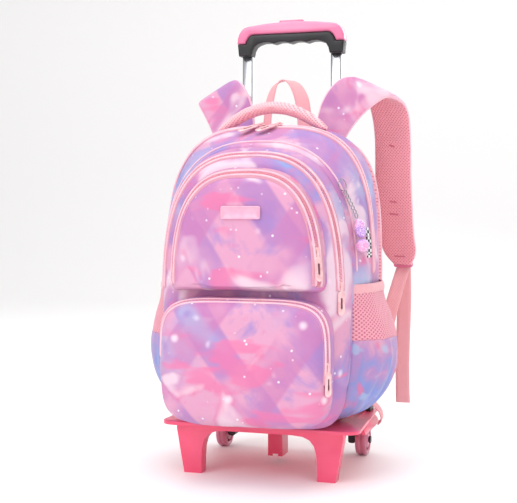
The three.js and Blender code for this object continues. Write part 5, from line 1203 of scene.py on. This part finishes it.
# Wheels: translucent rosy urethane tyres on spoked centres, each with a hub that turns on a stub axle.
# The tread has one shallow groove, and six spokes stand between the tyre and the hub.
rosy_urethane = toned("rosy_urethane", (0.74, 0.2, 0.33), (0.86, 0.3, 0.42), 60.0, 0.24, 0.16, None, True,
                      0.1, 0.0005, Transmission_Weight=0.35, IOR=1.45, Coat_Weight=0.4, Coat_Roughness=0.15)
WHEEL_R, WHEEL_HALF_WIDE, TRACK, WHEEL_Y = 26.0, 9.5, 121, 44
AROUND, SPOKES = 72, 6
w = WHEEL_HALF_WIDE
TYRE = [(19.0, -w + 1.6), (20.5, -w + 0.4), (23.6, -w + 0.6), (25.4, -w + 2.2), (WHEEL_R, -w + 4.4),
        (WHEEL_R, -2.2), (25.2, -1.6), (25.2, 1.6), (WHEEL_R, 2.2), (WHEEL_R, w - 4.4), (25.4, w - 2.2),
        (23.6, w - 0.6), (20.5, w - 0.4), (19.0, w - 1.6), (18.4, 0.0)]
HUB_SLEEVE = [(11.3, -w + 1.0), (14.0, -w + 1.4), (14.0, w - 1.4), (11.3, w - 1.0)]
DISC = [(13.8, -1.0), (18.8, -1.0), (18.8, 1.0), (13.8, 1.0)]


def turned(parts, centre, profile):
    """Adds a ring turned about X from a closed profile of radius and place along X."""
    n = len(profile)
    points, faces = [], []
    for i in range(AROUND):
        a = 2 * math.pi * i / AROUND
        points += [centre + Vector((x, r * math.cos(a), r * math.sin(a))) * MILLI for r, x in profile]
        j = (i + 1) % AROUND
        faces += [(i * n + k, j * n + k, j * n + (k + 1) % n, i * n + (k + 1) % n) for k in range(n)]
    parts.add(points, faces)


for label, side in (("left", -1), ("right", 1)):
    centre = spot(side * TRACK, WHEEL_Y, WHEEL_R)
    tyre = Parts()
    for profile in (TYRE, HUB_SLEEVE, DISC):
        turned(tyre, centre, profile)
    for k in range(SPOKES):
        a = 2 * math.pi * k / SPOKES
        ray = Vector((0, math.cos(a), math.sin(a)))
        cross = Vector((0, -math.sin(a), math.cos(a)))
        tyre.block(centre + ray * (16.4 * MILLI), (Vector((1, 0, 0)), cross, ray), (w - 3.0, 2.2, 3.2))
    wheel = tyre.made(f"rosy_wheel_{label}", rosy_urethane)
    bevelled(wheel, 0.5, 40)
    turn_out(wheel)
    settle(wheel, None, f"wheel_{label}", "wheel", f"wheel_{label}")
    hub = softened(f"pink_hub_{label}", f"hub_{label}", 0.6)
    settle(hub, grip_plastic, f"wheel_{label}", "grip_pink", f"hub_{label}")

# Charm: a steel wire ring and chain on the front seam, with two plain glittered beads and a checked loop.
bright_wire = toned("bright_wire", (0.34, 0.33, 0.37), (0.5, 0.49, 0.53), 200.0, 0.14, 0.16, Metallic=1.0)
bead_paint = Paint("glitter_bead", Coat_Weight=0.9, Coat_Roughness=0.05)
flake = bead_paint.node("ShaderNodeTexVoronoi", {}, {"Vector": bead_paint.place(), "Scale": 1300.0}, "Color")
flake_tone = bead_paint.node("ShaderNodeSeparateColor", {}, {0: flake}, 0)
bead_fade = bead_paint.cloud(bead_paint.place(), 40.0).fade(0.4, 0.6)
bead_tone = bead_paint.mix(bead_fade, (0.5, 0.24, 0.72), (0.82, 0.3, 0.6))
glitter_bead = bead_paint.finish(bead_paint.mix(flake_tone.fade(0.6, 0.95), bead_tone, (0.95, 0.8, 0.95)),
                                 0.2 + flake_tone * 0.3, flake_tone, 0.25, 0.0004)
for node, name, material, slot in (("charm_chain", "wire_chain", bright_wire, "charm_metal"),
                                   ("charm_bob", "long_bead", glitter_bead, "charm_ball"),
                                   ("charm_ball", "round_bead", glitter_bead, "charm_ball")):
    piece = softened(name, node, 0.2, 1, 80)
    piece.modifiers.remove(piece.modifiers["edge"])
    rounder = piece.modifiers.new("round", "SUBSURF")
    rounder.levels = rounder.render_levels = 1
    settle(piece, material, "frame", slot, node)
check_paint = Paint("checked_strap", Roughness=0.6)
check_board = check_paint.node("ShaderNodeTexChecker", {}, {
    "Vector": check_paint.place((0.2, 0.35, 0.5)), "Color1": (0.02, 0.02, 0.025, 1),
    "Color2": (0.85, 0.84, 0.86, 1), "Scale": 230.0})
checked_strap = check_paint.finish(check_board, 0.55 + check_paint.cloud(check_paint.place(), 90.0) * 0.1,
                                   weave(check_paint), 0.4, 0.0004)
wrist_loop = softened("checked_wrist_loop", "charm_strap", 0.5)
settle(wrist_loop, checked_strap, "frame", "charm_check", "charm_strap")
